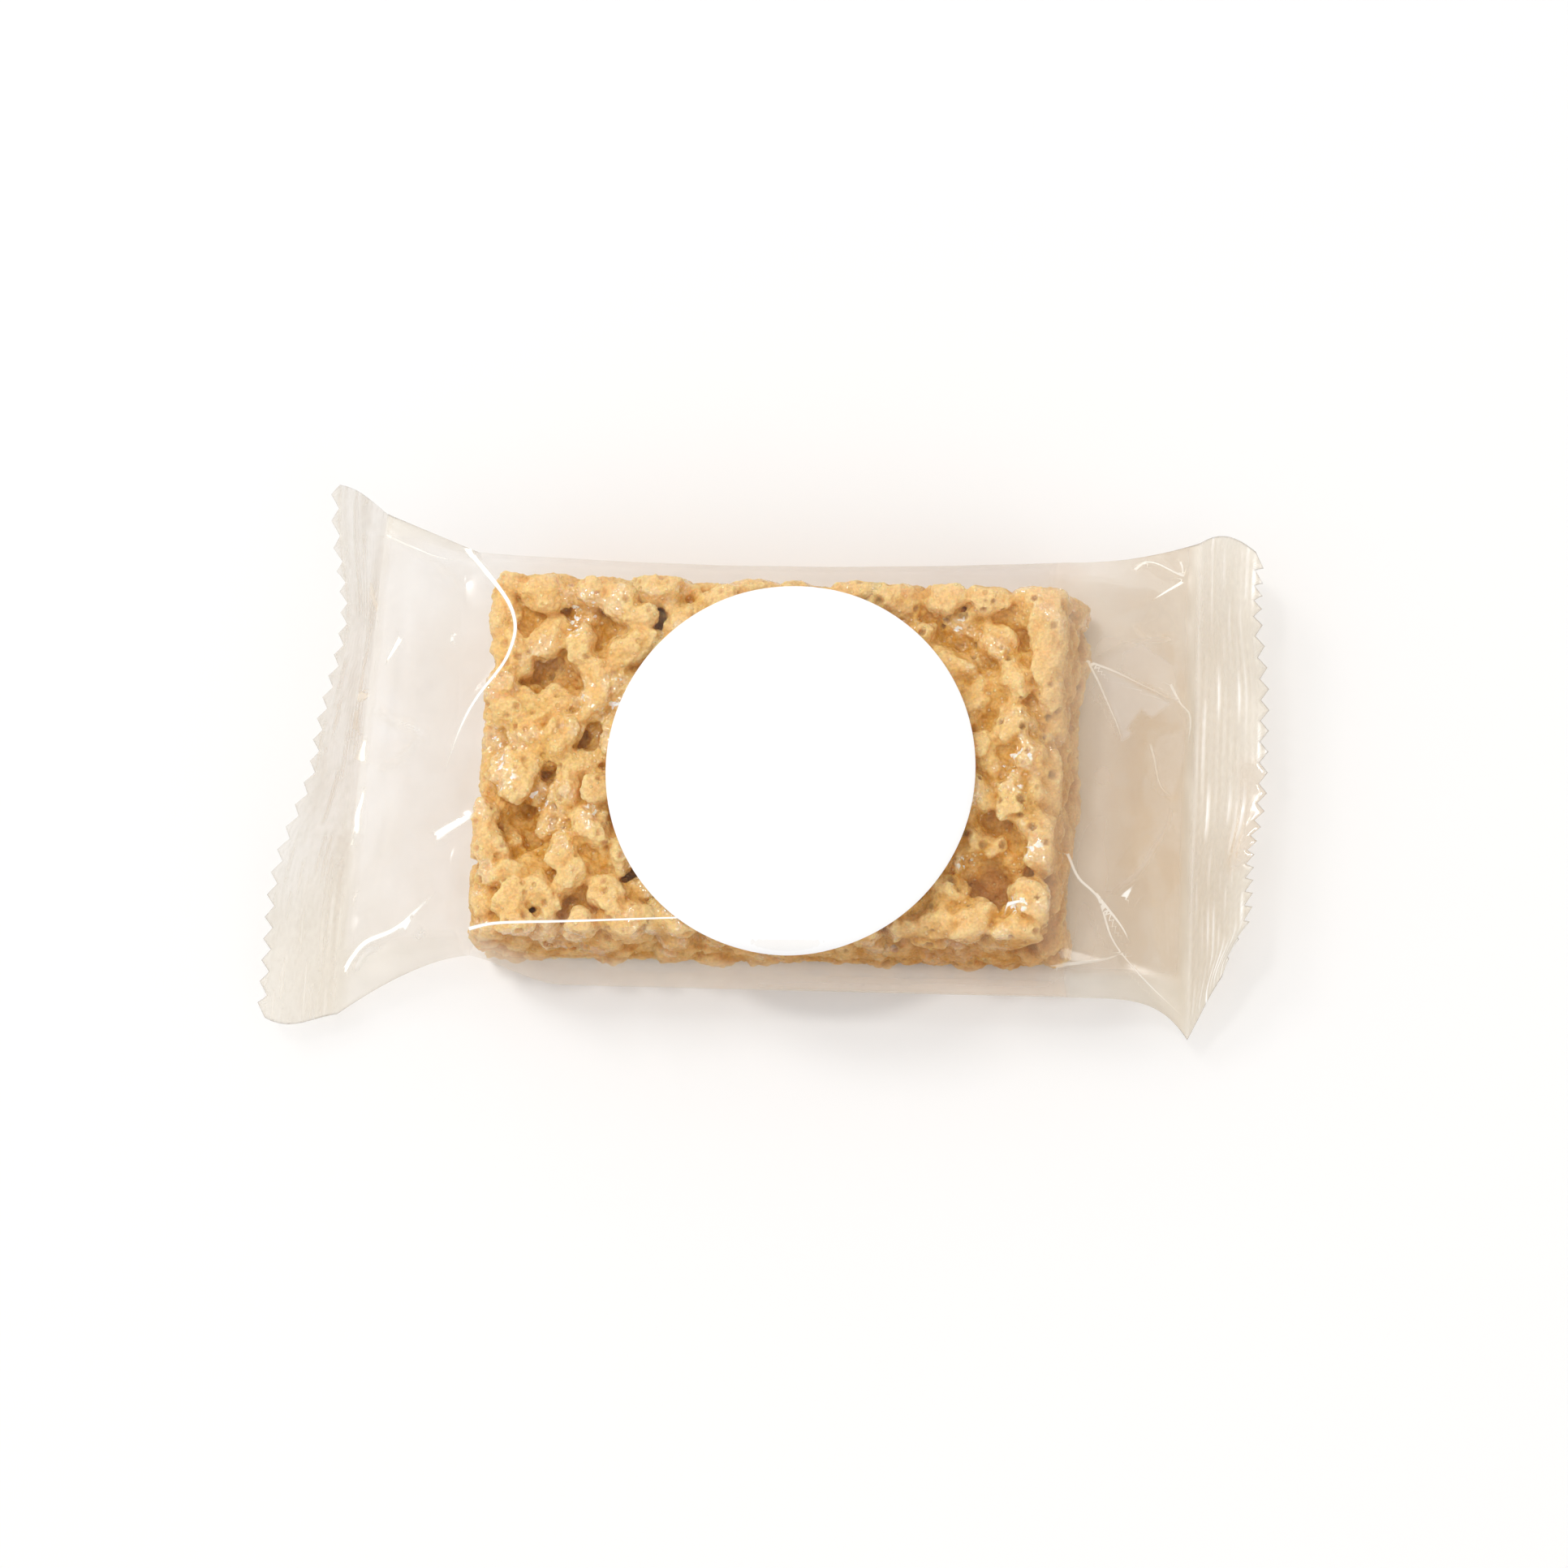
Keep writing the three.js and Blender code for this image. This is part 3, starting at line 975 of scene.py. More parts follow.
def dress_rice(skin, block, grains, draw, voxel):
    """Crumb and pores on the skin, and the attributes that colour it: painted shade in gaps,
    pores and on steep walls, painted light on crests, and the sticky patches where glints
    are painted.
    """
    softened(skin, skin.verts, round(EASE / voxel ** 2))
    skin.normal_update()
    below = hollows(skin, round(NARROW / voxel ** 2))
    broad = hollows(skin, round(BROAD / voxel ** 2))
    names = ("gap", "crest", "toast", "pore", "wet", "wall")
    for name in names:
        skin.verts.layers.float.new(name)
    layers = [skin.verts.layers.float[name] for name in names]
    tree = tree_of([grain.centre for grain in grains])

    skin.verts.ensure_lookup_table()
    open_skin = [v.index for v, hollow in zip(skin.verts, below) if hollow < 0.05]
    picks = draw.sample(open_skin, PORES)
    radii = [draw.triangular(*PORE_RADIUS) for _ in picks]
    pores = tree_of([skin.verts[pick].co for pick in picks])

    moves = []
    for vert, hollow, valley in zip(skin.verts, below, broad):
        co = vert.co
        grain = grains[tree.find(co)[1]]
        sunk = clip((block.depth(co) - 0.9) / 2.4)
        steep = 1 - abs(vert.normal.z)
        # Painted shade: steep walls, and deep places in the right part of the treat, are
        # marked to be darkened.
        wall = steep * rise(-block.side_depth(co), -1.8, 1.2)
        deep = rise(block.height - co.z, 2.4, 1.6) * rise(co.x, 9, 6) * (1 - wall)
        # Painted shade: deep places, narrow and broad hollows and steep sides are marked to
        # be darkened, and so is the treat towards its right and its front.
        gap = 0.6 * sunk + 1.4 * hollow + 0.9 * valley + 0.25 * steep + 0.3 * wall
        gap += 0.28 * rise(co.x, 5, 14) + 0.25 * rise(-co.y, -4, 16)
        # The pores' dents, darkened in the material as painted shade.
        _, p, away = pores.find(co)
        reach = away / radii[p]
        dent = math.sqrt(max(0.0, 1 - reach ** 2)) * 0.9
        rim = 0.16 * math.exp(-((reach - 1.3) / 0.3) ** 2)
        crumb = (0.30 * abs(noise(co * 0.8)) + 0.22 * abs(noise(co * 1.7))
                 + 0.12 * abs(noise(co * 3.4)) - 0.14)
        # Painted shade in gaps, pores and on walls, painted light on crests, and the sticky
        # patches of painted glints; the toast is the grains' own tone.
        looks = (clip(gap), clip(-1.4 * hollow - 0.9 * valley),
                 0.5 + 0.5 * math.sin(grain.seed * 7.3),
                 min(1.0, dent * 1.1) * mix(0.4, 1.0, rise(co.x, -8, 20)),
                 max(math.exp(-((co.x - x) ** 2 + (co.y - y) ** 2) / wide ** 2)
                     for x, y, wide in WET_AND_GLINT_PATCHES),
                 max(wall, 2.4 * deep))
        for layer, number in zip(layers, looks):
            vert[layer] = number
        moves.append(vert.normal * (crumb + (rim - dent) * radii[p]))
    for vert, move in zip(skin.verts, moves):
        vert.co += move
        vert.co.z = min(max(vert.co.z, FLOOR_GAP), TOP_HEIGHT - FILM_GAP)


class RICETREAT_OT_treat(bpy.types.Operator):
    """Adds the puffed rice treat, as three runs of grains from left to right"""

    bl_idname = "rice_treat.treat"
    bl_label = "Treat"

    def execute(self, context):
        settings = context.scene.rice_treat
        block = Block(settings)
        material = rice_material(settings)
        draw = random.Random(SEED)
        grains = lay_grains(block, settings, draw)
        low = -math.inf
        for name, high, voxel in TREAT_PARTS:
            part = [g for g in grains if low < g.centre.x <= high]
            bm = bmesh.new()
            add_core(bm, block, low - CORE_OVERLAP, high + CORE_OVERLAP)
            for grain in part:
                add_grain(bm, grain, block)
            skin = remeshed(bm, voxel)
            dress_rice(skin, block, part, draw, voxel)
            onto_frame(skin)
            finish_piece(name, skin, material, "rice", "wrapper")
            low = high
        return {"FINISHED"}


# ---------------------------------------------------------------------- film


# The film's mesh: columns over a fin, a panel and the body's fine left and coarse rest,
# rows to each tooth of the cut, how near two vertices are welded, and the rounds of
# smoothing where panels meet the fins and the body.
FIN_STEPS, PANEL_STEPS = 42, 44
FINE_STEP, FINE_STEPS, COARSE_STEPS = 0.28, 26, 45
ROWS_PER_TOOTH = 8
WELD, EASE_ROUNDS = 0.004, 14

# How far in from a cut edge its teeth fade out and its layers close, and how much painted
# light whitens the film down the front of the treat, where the treat's shadow falls.
CUT_REACH, CLOSING = 1.7, 0.5
FRONT_PAINTED_LIGHT = 0.36


class Fold(NamedTuple):
    """A crease in the film: how high and wide it stands, how white it is and across what
    half width, its run in plan, and how much hazier its left side is than its right. Its
    whiteness is partly crease whitening and partly a painted highlight, and its hazier side
    is painted light and shade. A crisp one is drawn as a sharp line that starts full and
    thins towards its end."""

    height: float
    width: float
    white: float
    line: float
    points: list
    shade: float = 0.0
    crisp: bool = False


# Creases drawn as sharp white lines, partly crease whitening and partly painted highlight,
# as the fields of a fold.
CRISP_FOLDS = [
    # left end
    (0.45, 1.2, 1.0, 0.27, [(-31.7, 22.6), (-29.4, 19.9), (-26.9, 17.1), (-25.4, 14.9),
     (-24.8, 12.8), (-25.1, 10.8), (-26.1, 8.6), (-28.6, 5.3), (-30.1, 2.5), (-31.9, -2.1)],
     0.05),
    (0.12, 1.1, 0.55, 0.15, [(-40.8, 24.4), (-38.2, 23.0), (-34.6, 21.3), (-31.8, 20.9)]),
    (0.55, 1.2, 0.85, 0.33, [(-43.9, -21.8), (-43.0, -20.7), (-41.0, -19.2), (-37.5, -18.2),
     (-34.6, -16.8), (-32.4, -15.0)]),
    # right end
    (0.4, 1.5, 0.3, 0.14, [(34.6, 9.0), (37.7, 7.9), (40.5, 6.8), (42.6, 6.0)], -0.14),
    (0.3, 1.1, 0.4, 0.15, [(42.6, 7.4), (43.3, 5.8), (44.2, 4.6), (44.2, 1.9)]),
    (0.4, 1.3, 0.25, 0.12, [(34.6, 8.7), (36.4, 4.5), (37.8, 1.0)], 0.12),
    (0.3, 1.0, 0.25, 0.14, [(40.5, 0.8), (40.9, -1.4), (41.5, -3.2), (42.7, -4.1)], 0.10),
    (0.12, 1.5, 0.4, 0.16, [(32.7, -11.1), (33.7, -13.2), (35.6, -15.2), (36.9, -19.1),
     (39.3, -22.1), (43.5, -26.0)], 0.13),
    (0.2, 1.0, 0.45, 0.18, [(35.6, -15.0), (37.6, -17.6), (38.6, -19.3)]),
    (0.2, 1.3, 0.3, 0.2, [(31.3, -22.2), (35.9, -21.3), (38.3, -20.4)], 0.12),
    (0.3, 0.9, 0.9, 0.17, [(43.4, 18.6), (42.0, 17.4), (40.6, 16.2)]),
    (0.3, 0.8, 0.6, 0.15, [(43.4, 19.5), (42.5, 19.7), (40.4, 20.5), (38.7, 20.0)]),
    (0.3, 0.7, 0.6, 0.15, [(43.4, 20.8), (43.6, 19.4)]),
]

# Soft creases, likewise.
SOFT_FOLDS = [
    # left end
    (0.12, 1.2, 0.1, 0.3, [(-42.3, 26.6), (-37.4, 24.7), (-32.6, 22.6)]),
    (0.15, 1.6, 0.2, 0.5, [(-43.2, 26.8), (-40.9, 25.0), (-36.7, 22.0), (-32.7, 18.9),
     (-30.6, 16.3), (-30.0, 13.2)], 0.07),
    (0.45, 1.3, 0.5, 0.6, [(-41.6, 5.5), (-38.4, 3.8), (-34.9, 2.1), (-33.9, 0.4)], 0.05),
    (0.3, 1.2, 0.4, 0.5, [(-40.6, -1.2), (-37.4, -0.4), (-35.0, 1.6)]),
    (-0.4, 1.0, 0.0, 0.4, [(-41.8, -21.1), (-39.4, -21.9), (-36.8, -22.6)]),
    (0.3, 0.8, 0.5, 0.35, [(-43.0, -22.4), (-41.4, -20.4), (-39.4, -19.6)]),
    (0.3, 0.9, 0.4, 0.4, [(-35.4, -19.2), (-34.0, -18.2)]),
    # right end
    (0.5, 1.6, 0.15, 0.3, [(42.8, -4.2), (41.6, -7.7), (38.9, -12.4), (36.0, -14.7)], 0.16),
    (-0.5, 1.4, 0.0, 0.3, [(39.0, 12.6), (40.6, 13.9), (42.2, 15.1)]),
    (0.3, 1.2, 0.15, 0.4, [(34.6, 9.2), (37.4, 11.0), (41.0, 11.9), (43.8, 12.6)], 0.12),
]
# Painted highlight: a thin white line along the film's shoulder over the treat's front edge.
FRONT_CREASE_HIGHLIGHT = Fold(0.03, 0.5, 0.95, 0.17, [(-28.8, -18.5), (-25.4, -18.1), (-18, -17.9),
                                             (-7.0, -17.5), (0.0, -17.3)], crisp=True)

# Small glossy dents with painted highlights on them: how white, half how wide, and from
# where to where.
PAINTED_GLINTS = [
    (0.6, 0.13, (-42.0, 18.6), (-41.5, 14.8)), (0.5, 0.15, (-42.9, 7.0), (-42.2, 11.6)),
    (1.0, 0.42, (-38.4, 12.4), (-40.1, 10.2)), (0.8, 0.3, (-42.9, 6.6), (-42.3, 7.4)),
    (0.9, 0.5, (-42.8, 0.4), (-42.5, 2.5)), (0.4, 0.2, (-43.2, 3.4), (-43.0, 5.4)),
    (1.0, 0.55, (-43.0, -7.2), (-42.2, -2.6)), (0.5, 0.2, (-43.6, -8.6), (-43.3, -7.6)),
    (1.0, 0.6, (-32.4, -8.9), (-28.6, -6.9)), (0.9, 0.35, (-36.2, -18.0), (-35.0, -17.2)),
    (0.7, 0.22, (-31.5, 11.4), (-31.4, 12.0)), (0.5, 0.25, (-43.1, -14.6), (-42.4, -13.9)),
    (0.8, 0.3, (38.2, -14.6), (38.7, -13.8)), (0.5, 0.2, (38.9, 19.7), (39.9, 20.7)),
    (0.9, 0.24, (26.7, -16.0), (28.1, -15.6)),
]
GLINT_HEIGHT, GLINT_WIDTH = 0.2, 0.55
CRISP_FOLDS += [(GLINT_HEIGHT, GLINT_WIDTH, white, line, [start, end])
                for white, line, start, end in PAINTED_GLINTS]
FOLDS = [Fold(*row, crisp=True) for row in CRISP_FOLDS] + [Fold(*row) for row in SOFT_FOLDS]

# Flat patches of film between the folds, painted reflections: how hazy and how white each
# is, and its corners in turn.
REFLECTION_FACETS = [
    (0.30, 0.42, [(34.8, 8.8), (42.6, 5.7), (37.8, 1.0)]),
    (0.80, 0.0, [(38.1, 2.5), (39.6, 4.7), (41.9, 3.0), (39.9, 0.8)]),
    (0.55, 0.1, [(41.2, 2.1), (43.7, 3.2), (44.0, 0.8), (42.8, -4.1), (41.3, -3.0),
                 (40.6, 0.6)]),
    (0.95, 0.0, [(37.0, -11.8), (40.4, -6.6), (41.4, -7.0), (38.6, -12.0)]),
    (0.45, 0.28, [(35.2, 9.0), (39.4, 11.6), (43.4, 9.6), (43.2, 6.0)]),
]


def reflection_facet_look(x, y, haze, white):
    """Haze and whitening at a point in plan once the flat patches, which are painted
    reflections, have their say.
    """
    for own_haze, own_white, corners in REFLECTION_FACETS:
        inside = min(
            ((x - c[0]) * (d[1] - c[1]) - (y - c[1]) * (d[0] - c[0])) / math.dist(c, d)
            for c, d in zip(corners, corners[1:] + corners[:1]))
        share = rise(inside, -0.15, 0.45)
        haze = mix(haze, own_haze, share)
        white = mix(white, own_white, share)
    return haze, white


# How far apart the points of a fold's run lie, how many times its width a fold reaches,
# and the offset and whiteness of a crisp line where none is near.
RUN_STEP, FOLD_REACH = 0.12, 2.5
NO_LINE = (9.0, 0.0)


class FoldField:
    """What the folds do to the film at any point in plan."""

    def __init__(self, folds):
        self.runs = []
        for fold in folds:
            run = run_through(fold.points, RUN_STEP)
            self.runs.append((fold, run, tree_of([p.to_3d() for p in run])))

    def at(self, x, y):
        """Height, whitening and haze there, then how far the nearest crisp line is in
        half widths of that line, and how white that line is. The whitening and the
        crisp lines are partly painted highlights, and the haze holds the folds' painted
        light and shade."""
        height = white = shade = line_white = 0.0
        line = NO_LINE[0]
        for fold, run, tree in self.runs:
            near, k, away = tree.find((x, y, 0))
            if away > FOLD_REACH * fold.width:
                continue
            last = len(run) - 1
            ahead = (run[min(k + 1, last)] - run[max(k - 1, 0)]).normalized()
            off = ahead.x * (y - near.y) - ahead.y * (x - near.x)
            ends = min(1.0, 4.5 * min(k, last - k) / last + 0.05)
            end = min(1.0, 4.5 * (last - k) / last + 0.05) if fold.crisp else ends
            bulge = fold.height * math.exp(-away / fold.width * 1.6) * ends
            if abs(bulge) > abs(height):
                height = bulge
            # Painted light and shade: one side of a fold is made hazier than the other.
            shade += fold.shade * end * math.tanh(off / 0.15) * math.exp(-away / 1.6)
            if not fold.crisp:
                white = max(white, fold.white * end * math.exp(-(away / fold.line) ** 2))
            elif away < abs(off) + 0.3:
                widths = off / (fold.line * mix(1.0, 0.35, k / last))
                if abs(widths) < abs(line):
                    line = widths
                    line_white = fold.white * end * math.exp(-(away / 0.8) ** 2)
        return height, white, shade, (line, line_white)


def film_stations(pack):
    """Columns of the film's mesh from the left cut edge to the right one."""
    width = pack.fin_width / MM
    fin = [width * k / FIN_STEPS for k in range(FIN_STEPS + 1)]
    panel = [k / PANEL_STEPS for k in range(1, PANEL_STEPS)]
    body = [BODY_LEFT + FINE_STEP * k for k in range(FINE_STEPS)]
    start = body[-1]
    body += [mix(start, BODY_RIGHT, 1 - (1 - k / COARSE_STEPS) ** 1.25)
             for k in range(1, COARSE_STEPS + 1)]
    stations = [("fin", LEFT_END, d) for d in reversed(fin)]
    stations += [("panel", LEFT_END, s) for s in reversed(panel)]
    stations += [("body", None, x) for x in body]
    stations += [("panel", RIGHT_END, s) for s in panel]
    stations += [("fin", RIGHT_END, d) for d in fin]
    return stations


def tooth_cut(pack, f, distance):
    """Distance out along the fin once the zig-zag is cut."""
    width = pack.fin_width / MM
    saw = abs(2 * ((f * pack.teeth) % 1.0) - 1)
    reach = rise(distance, width - CUT_REACH, CUT_REACH)
    return distance - pack.tooth_depth / MM * saw * reach


def film_point(pack, station, f, top):
    """Point of the smooth film, before its creases."""
    kind, end, value = station
    half = pack.fin_thickness / MM / 2
    seal = half * fade(f, 40) * (1 if top else -1)
    if kind == "body":
        return body_section(value, f, top)
    if kind == "fin":
        width = pack.fin_width / MM
        offset = seal * min(1.0, (width - value) / CLOSING)
        return fin_point(end, width, f, tooth_cut(pack, f, value), offset)
    start = body_section(BODY_LEFT if end.side < 0 else BODY_RIGHT, f, top)
    root = fin_point(end, pack.fin_width / MM, f, 0.0, seal)
    point = start.lerp(root, value)
    point.y = mix(start.y, root.y, value ** end.spread(f))
    sag = 0.35 * fade(f, 20) if top else 0.0
    point.z = mix(start.z, root.z, value ** (1 + sag))
    return point


def ease_joints(bm, stations, layers):
    """Rounds the film where it leaves the treat and where it runs into a fin."""
    near = []
    for vert in bm.verts:
        kind, _, value = stations[round(vert[layers["station"]])]
        if (value < 2.2 if kind == "fin"
                else value > 0.78 or value < 0.3 if kind == "panel"
                else value < BODY_LEFT + 2.5 or value > BODY_RIGHT - 2.5):
            near.append(vert)
    softened(bm, near, EASE_ROUNDS, upright=True)


def fin_look(pack, end, value, f, side, co, haze, folds):
    """Lift, haze, whitening, frost and crisp line of a fin, crimped and streaked; the crisp
    line is a painted highlight.
    """
    width, pitch = pack.fin_width / MM, pack.crimp_pitch / MM
    out = tooth_cut(pack, f, value)
    seed = 3.0 + end.side
    wander = out + 0.5 * noise((out * 0.3, f * 3, seed + 6))
    ridge = math.floor(wander / pitch)
    across = wander / pitch - ridge - 0.5
    streak = max(0.0, noise((ridge * 7.3, f * 8, seed))) ** 0.8
    streak *= math.exp(-(across / 0.2) ** 2)
    patch = noise((out * 0.4, f * 5, seed + 2))
    fine = noise((out * 4.0, f * 60, seed + 4))
    depth = 0.55 + 0.9 * noise((out * 0.5, f * 9, seed + 8))
    crimp = math.sin(math.tau * wander / pitch) * mix(0.3, 1.0, rise(patch, -0.1, 0.4))
    taper = min(1.0, out / 0.8, max(0.0, (width - value) / CLOSING))
    lift = side * pack.crimp_height / MM * (crimp * depth + 0.6 * fine) * taper
    haze += 0.2 + 0.08 * fine + 0.15 * patch
    haze += (0.22 if end.side < 0 else 0.08) * rise(f, 0.6, 0.3)
    white = (1.15 + 0.2 * end.side) * streak + 0.2 * max(0.0, patch) + 0.06 * fine
    frost = 0.85
    if end.side > 0:
        white += 0.1
        frost *= 1 - rise(value, 4.6, 1.4) * rise(f, 0.42, 0.06) * rise(-f, -0.74, 0.06)
    white = white * min(1.0, out / 1.2) + 0.12 * rise(value, width - 0.4, 0.4)
    line = folds.at(co.x, co.y)[3] if side > 0 and value < 3 else NO_LINE
    return lift * fade(f, 30), haze, white, frost, line


def panel_look(block, end, value, f, side, co, haze, folds):
    """The same for a panel between a fin and the treat, rippled and puckered."""
    edge = min(f, 1 - f)
    lift = noise((co.x * 0.11, co.y * 0.11, 5.0 + side)) * 0.4
    lift += noise((co.x * 0.33, co.y * 0.30, 9.0 + side)) * 0.16
    pucker = 0.7 * noise((f * 11, co.x * 0.12, 2.0 + side))
    pucker += 0.35 * noise((f * 25, co.x * 0.12, 7.0 + side))
    pucker *= math.exp(-(1 - value) * 4.0) * (1.0 if end.side < 0 else 0.08)
    lift += pucker * rise(edge, 0.05, 0.1)
    haze += 0.16 * noise(co * 0.13) + 0.10 * noise(co * 0.34)
    haze += 0.2 * math.exp(-(edge / 0.008) ** 2)
    frost = 0.85 * rise(value, 0.88, 0.1)
    haze += 0.2 * frost
    rim = 0.7 * rise(f, 0.84, 0.08)
    if end.side < 0:
        rim = max(rise(-f, -0.055, 0.03), rim)
        haze += 0.07 * rise(f, 0.4, 0.45) + 0.25 * rim
    else:
        # Painted shade: the right panel is hazier away from the treat and towards the front.
        haze += 0.26 * rise(value, 0.25, 0.4) + 0.14 * rise(f, 0.35, 0.3)
    white, line = 0.0, NO_LINE
    if side > 0:
        raised, white, shade, line = folds.at(co.x, co.y)
        lift += raised
        haze += shade
        if end.side > 0:
            # Painted light: haze and white on the film beside the treat's right side, and
            # white down its front, lighten the treat's shadow.
            veil = math.exp(-((block.side_depth(co) + 4.0) / 2.2) ** 2)
            veil *= rise(value, 0.0, 0.15)
            haze += 0.12 * veil
            white = max(white, 0.2 * veil,
                        FRONT_PAINTED_LIGHT * rise(f, 0.86, 0.06) * (1 - value))
        haze, white = reflection_facet_look(co.x, co.y, haze, white)
    return lift * fade(f, 30), haze, white, max(frost, rim), line


def body_look(f, side, co, haze, folds, front):
    """The same for the film round the treat, clearest where it lies on the treat."""
    lift = noise((co.x * 0.11, co.y * 0.11, 5.0 + side)) * 0.15 * fade(f, 30)
    from_left = rise(co.x - BODY_LEFT, 0, 3)
    inward = from_left * rise(BODY_RIGHT - co.x, 0, 4)
    over_top = side * rise(min(f, 1 - f), 0.03, 0.07) * inward
    haze *= 1.0 - 0.8 * max(0.0, over_top)
    # Painted light: the film down the front is whitened where the treat's shadow falls.
    white = FRONT_PAINTED_LIGHT * rise(f, 0.86, 0.06) * from_left
    frost = 0.8 * rise(-f, -0.26, 0.08) * inward
    if side < 0:
        return lift * 0.3, haze, white, frost, NO_LINE
    raised, pale, shade, line = folds.at(co.x, co.y)
    # Painted highlight: the thin white line along the film's shoulder at the front.
    other, _, _, crease = front.at(co.x, co.y)
    lift += raised * 0.8 + other
    lift *= rise((co - LABEL_CENTRE).xy.length, LABEL_RADIUS + 0.5, 3.0)
    return lift, haze + shade, max(white, pale), frost, min(line, crease, key=line_offset)


def line_offset(line):
    return abs(line[0])


def crease_film(pack, block, stations, bm, layers):
    """Raises the creases, crimps and ripples of the welded film along its normals, and
    sets how each part of it looks."""
    folds, front = FoldField(FOLDS), FoldField([FRONT_CREASE_HIGHLIGHT])
    bm.normal_update()
    moves = []
    for vert in bm.verts:
        kind, end, value = stations[round(vert[layers["station"]])]
        f, side, co = vert[layers["across"]], vert[layers["side"]], vert.co
        # Painted shade and warm light: towards the right the film is warmer, darker and
        # hazier, where the treat's shadow and its warm bounced light fall.
        warmth = tint = rise(co.x, -34, 66)
        haze = 0.18 + 0.33 * warmth
        if kind == "fin":
            look = fin_look(pack, end, value, f, side, co, haze, folds)
            tint *= 0.5
        elif kind == "panel":
            look = panel_look(block, end, value, f, side, co, haze, folds)
            if end.side > 0:
                tint *= mix(0.55, 1.0, math.exp(-((f - 0.52) / 0.25) ** 2))
        else:
            look = body_look(f, side, co, haze, folds, front)
        lift, haze, white, frost, line = look
        if side > 0 and kind != "fin":
            # the film is hazier where it turns down round the treat, and a ring of haze a
            # few millimetres out from it is painted light round the treat, warmer to the
            # right
            inside = block.side_depth(co)
            haze += 0.16 * math.exp(-(inside / 1.3) ** 2)
            ring = (inside + mix(4.2, 8.5, warmth)) / mix(1.9, 3.4, warmth)
            haze += mix(0.08, 0.16, warmth) * math.exp(-ring ** 2)
        for name, number in (("haze", clip(haze)), ("whitening", clip(white)),
                             ("frost", clip(frost)), ("warmth", tint),
                             ("line", line[0]), ("line_white", line[1])):
            vert[layers[name]] = number
        moves.append(vert.normal * lift)
    for vert, move in zip(bm.verts, moves):
        vert.co += move
        vert.co.z = max(vert.co.z, 0.0)


class RICETREAT_OT_film(bpy.types.Operator):
    """Adds the clear film pack with its crimped, zig-zag cut fins"""

    bl_idname = "rice_treat.film"
    bl_label = "Film pack"

    def execute(self, context):
        pack = context.scene.rice_pack
        stations = film_stations(pack)
        columns, rows = len(stations) - 1, pack.teeth * ROWS_PER_TOOTH
        bm = bmesh.new()
        names = ("station", "across", "side", "haze", "warmth", "whitening", "frost",
                 "line", "line_white")
        for name in names:
            bm.verts.layers.float.new(name)
        layers = {name: bm.verts.layers.float[name] for name in names}
        for side in (1, -1):
            grid = bmesh.ops.create_grid(
                bm, x_segments=columns, y_segments=rows, size=1.0)["verts"]
            for vert in grid:
                k = round((vert.co.x + 1) / 2 * columns)
                f = round((1 - vert.co.y) / 2 * rows) / rows
                vert[layers["station"]] = k
                vert[layers["across"]] = f
                vert[layers["side"]] = side
                vert.co = film_point(pack, stations[k], f, side > 0)
        bmesh.ops.remove_doubles(bm, verts=bm.verts, dist=WELD)
        bmesh.ops.recalc_face_normals(bm, faces=bm.faces)
        ease_joints(bm, stations, layers)
        crease_film(pack, Block(context.scene.rice_treat), stations, bm, layers)
        for name in names[:3]:
            bm.verts.layers.float.remove(bm.verts.layers.float[name])
        onto_frame(bm)
        finish_piece("film", bm, film_material(pack), "film", "wrapper")
        return {"FINISHED"}


# --------------------------------------------------------------------- label


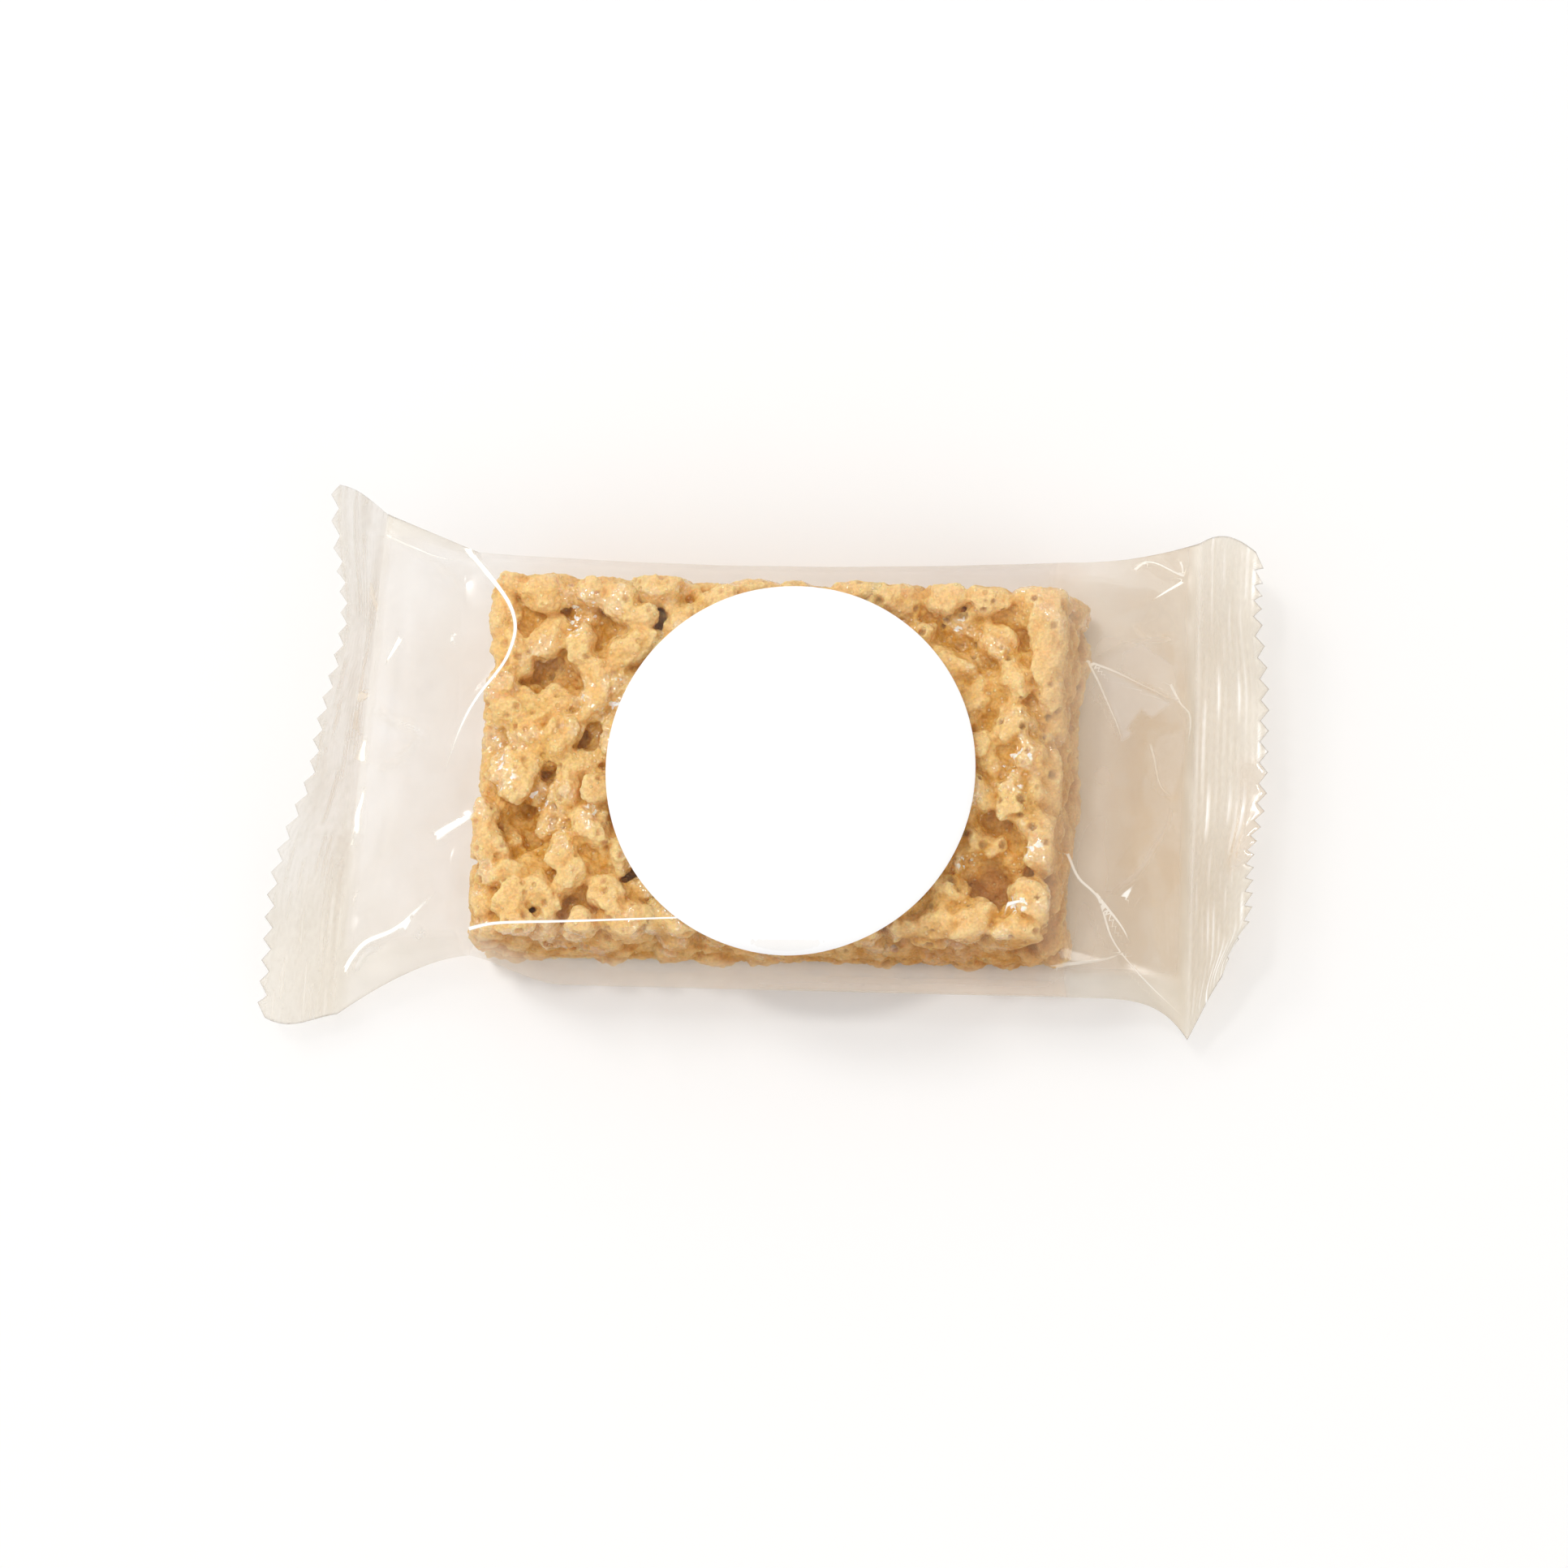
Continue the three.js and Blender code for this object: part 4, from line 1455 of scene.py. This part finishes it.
class RICETREAT_OT_label(bpy.types.Operator):
    """Adds the round paper label, laid on the film"""

    bl_idname = "rice_treat.label"
    bl_label = "Label"

    def execute(self, context):
        settings = context.scene.rice_label
        thick = settings.thickness / MM
        rim = thick * LABEL_RIM
        under = [(r, 0) for r in (*LABEL_RINGS, LABEL_RADIUS - rim)] + [(LABEL_RADIUS, rim)]
        profile = under + [(r, thick - z) for r, z in reversed(under)]
        bm = bmesh.new()
        run = [bm.verts.new((r, 0, z)) for r, z in profile]
        edges = [bm.edges.new(pair) for pair in zip(run, run[1:])]
        bmesh.ops.spin(bm, geom=run + edges, cent=(0, 0, 0), axis=(0, 0, 1),
                       angle=math.tau, steps=LABEL_SIDES, use_merge=True,
                       use_duplicate=False)
        bmesh.ops.remove_doubles(bm, verts=bm.verts, dist=0.001)
        bmesh.ops.recalc_face_normals(bm, faces=bm.faces)
        for vert in bm.verts:
            x, y = vert.co.x + LABEL_CENTRE.x, vert.co.y + LABEL_CENTRE.y
            vert.co = Vector((x, y, vert.co.z + top_height(x, y) + LABEL_LIFT))
        onto_frame(bm)
        finish_piece("label_disc", bm, paper_material(settings), "paper", "label")
        return {"FINISHED"}


# --------------------------------------------------------------------- panel


class RICETREAT_PT_sidebar(bpy.types.Panel):
    """Lists the treat's pieces"""

    bl_idname = "RICETREAT_PT_sidebar"
    bl_label = "Rice Treat"
    bl_space_type = "VIEW_3D"
    bl_region_type = "UI"
    bl_category = "Rice Treat"

    def draw(self, context):
        for name, operator in zip(SETTINGS, OPERATORS):
            owner = getattr(context.scene, name)
            box = self.layout.box()
            for prop in owner.bl_rna.properties:
                if prop.identifier in owner.__annotations__:
                    box.prop(owner, prop.identifier)
            box.operator(operator.bl_idname)


SETTINGS = {
    "rice_stage": StageSettings,
    "rice_treat": TreatSettings,
    "rice_pack": PackSettings,
    "rice_label": LabelSettings,
}
OPERATORS = (RICETREAT_OT_stage, RICETREAT_OT_treat, RICETREAT_OT_film,
             RICETREAT_OT_label)


def register():
    for name, group in SETTINGS.items():
        bpy.utils.register_class(group)
        setattr(bpy.types.Scene, name, PointerProperty(type=group))
    for operator in OPERATORS:
        bpy.utils.register_class(operator)
    bpy.utils.register_class(RICETREAT_PT_sidebar)


def unregister():
    bpy.utils.unregister_class(RICETREAT_PT_sidebar)
    for operator in reversed(OPERATORS):
        bpy.utils.unregister_class(operator)
    for name, group in reversed(SETTINGS.items()):
        delattr(bpy.types.Scene, name)
        bpy.utils.unregister_class(group)


def main():
    register()
    bpy.ops.rice_treat.stage()
    bpy.ops.rice_treat.treat()
    bpy.ops.rice_treat.film()
    bpy.ops.rice_treat.label()


if __name__ == "__main__":
    main()
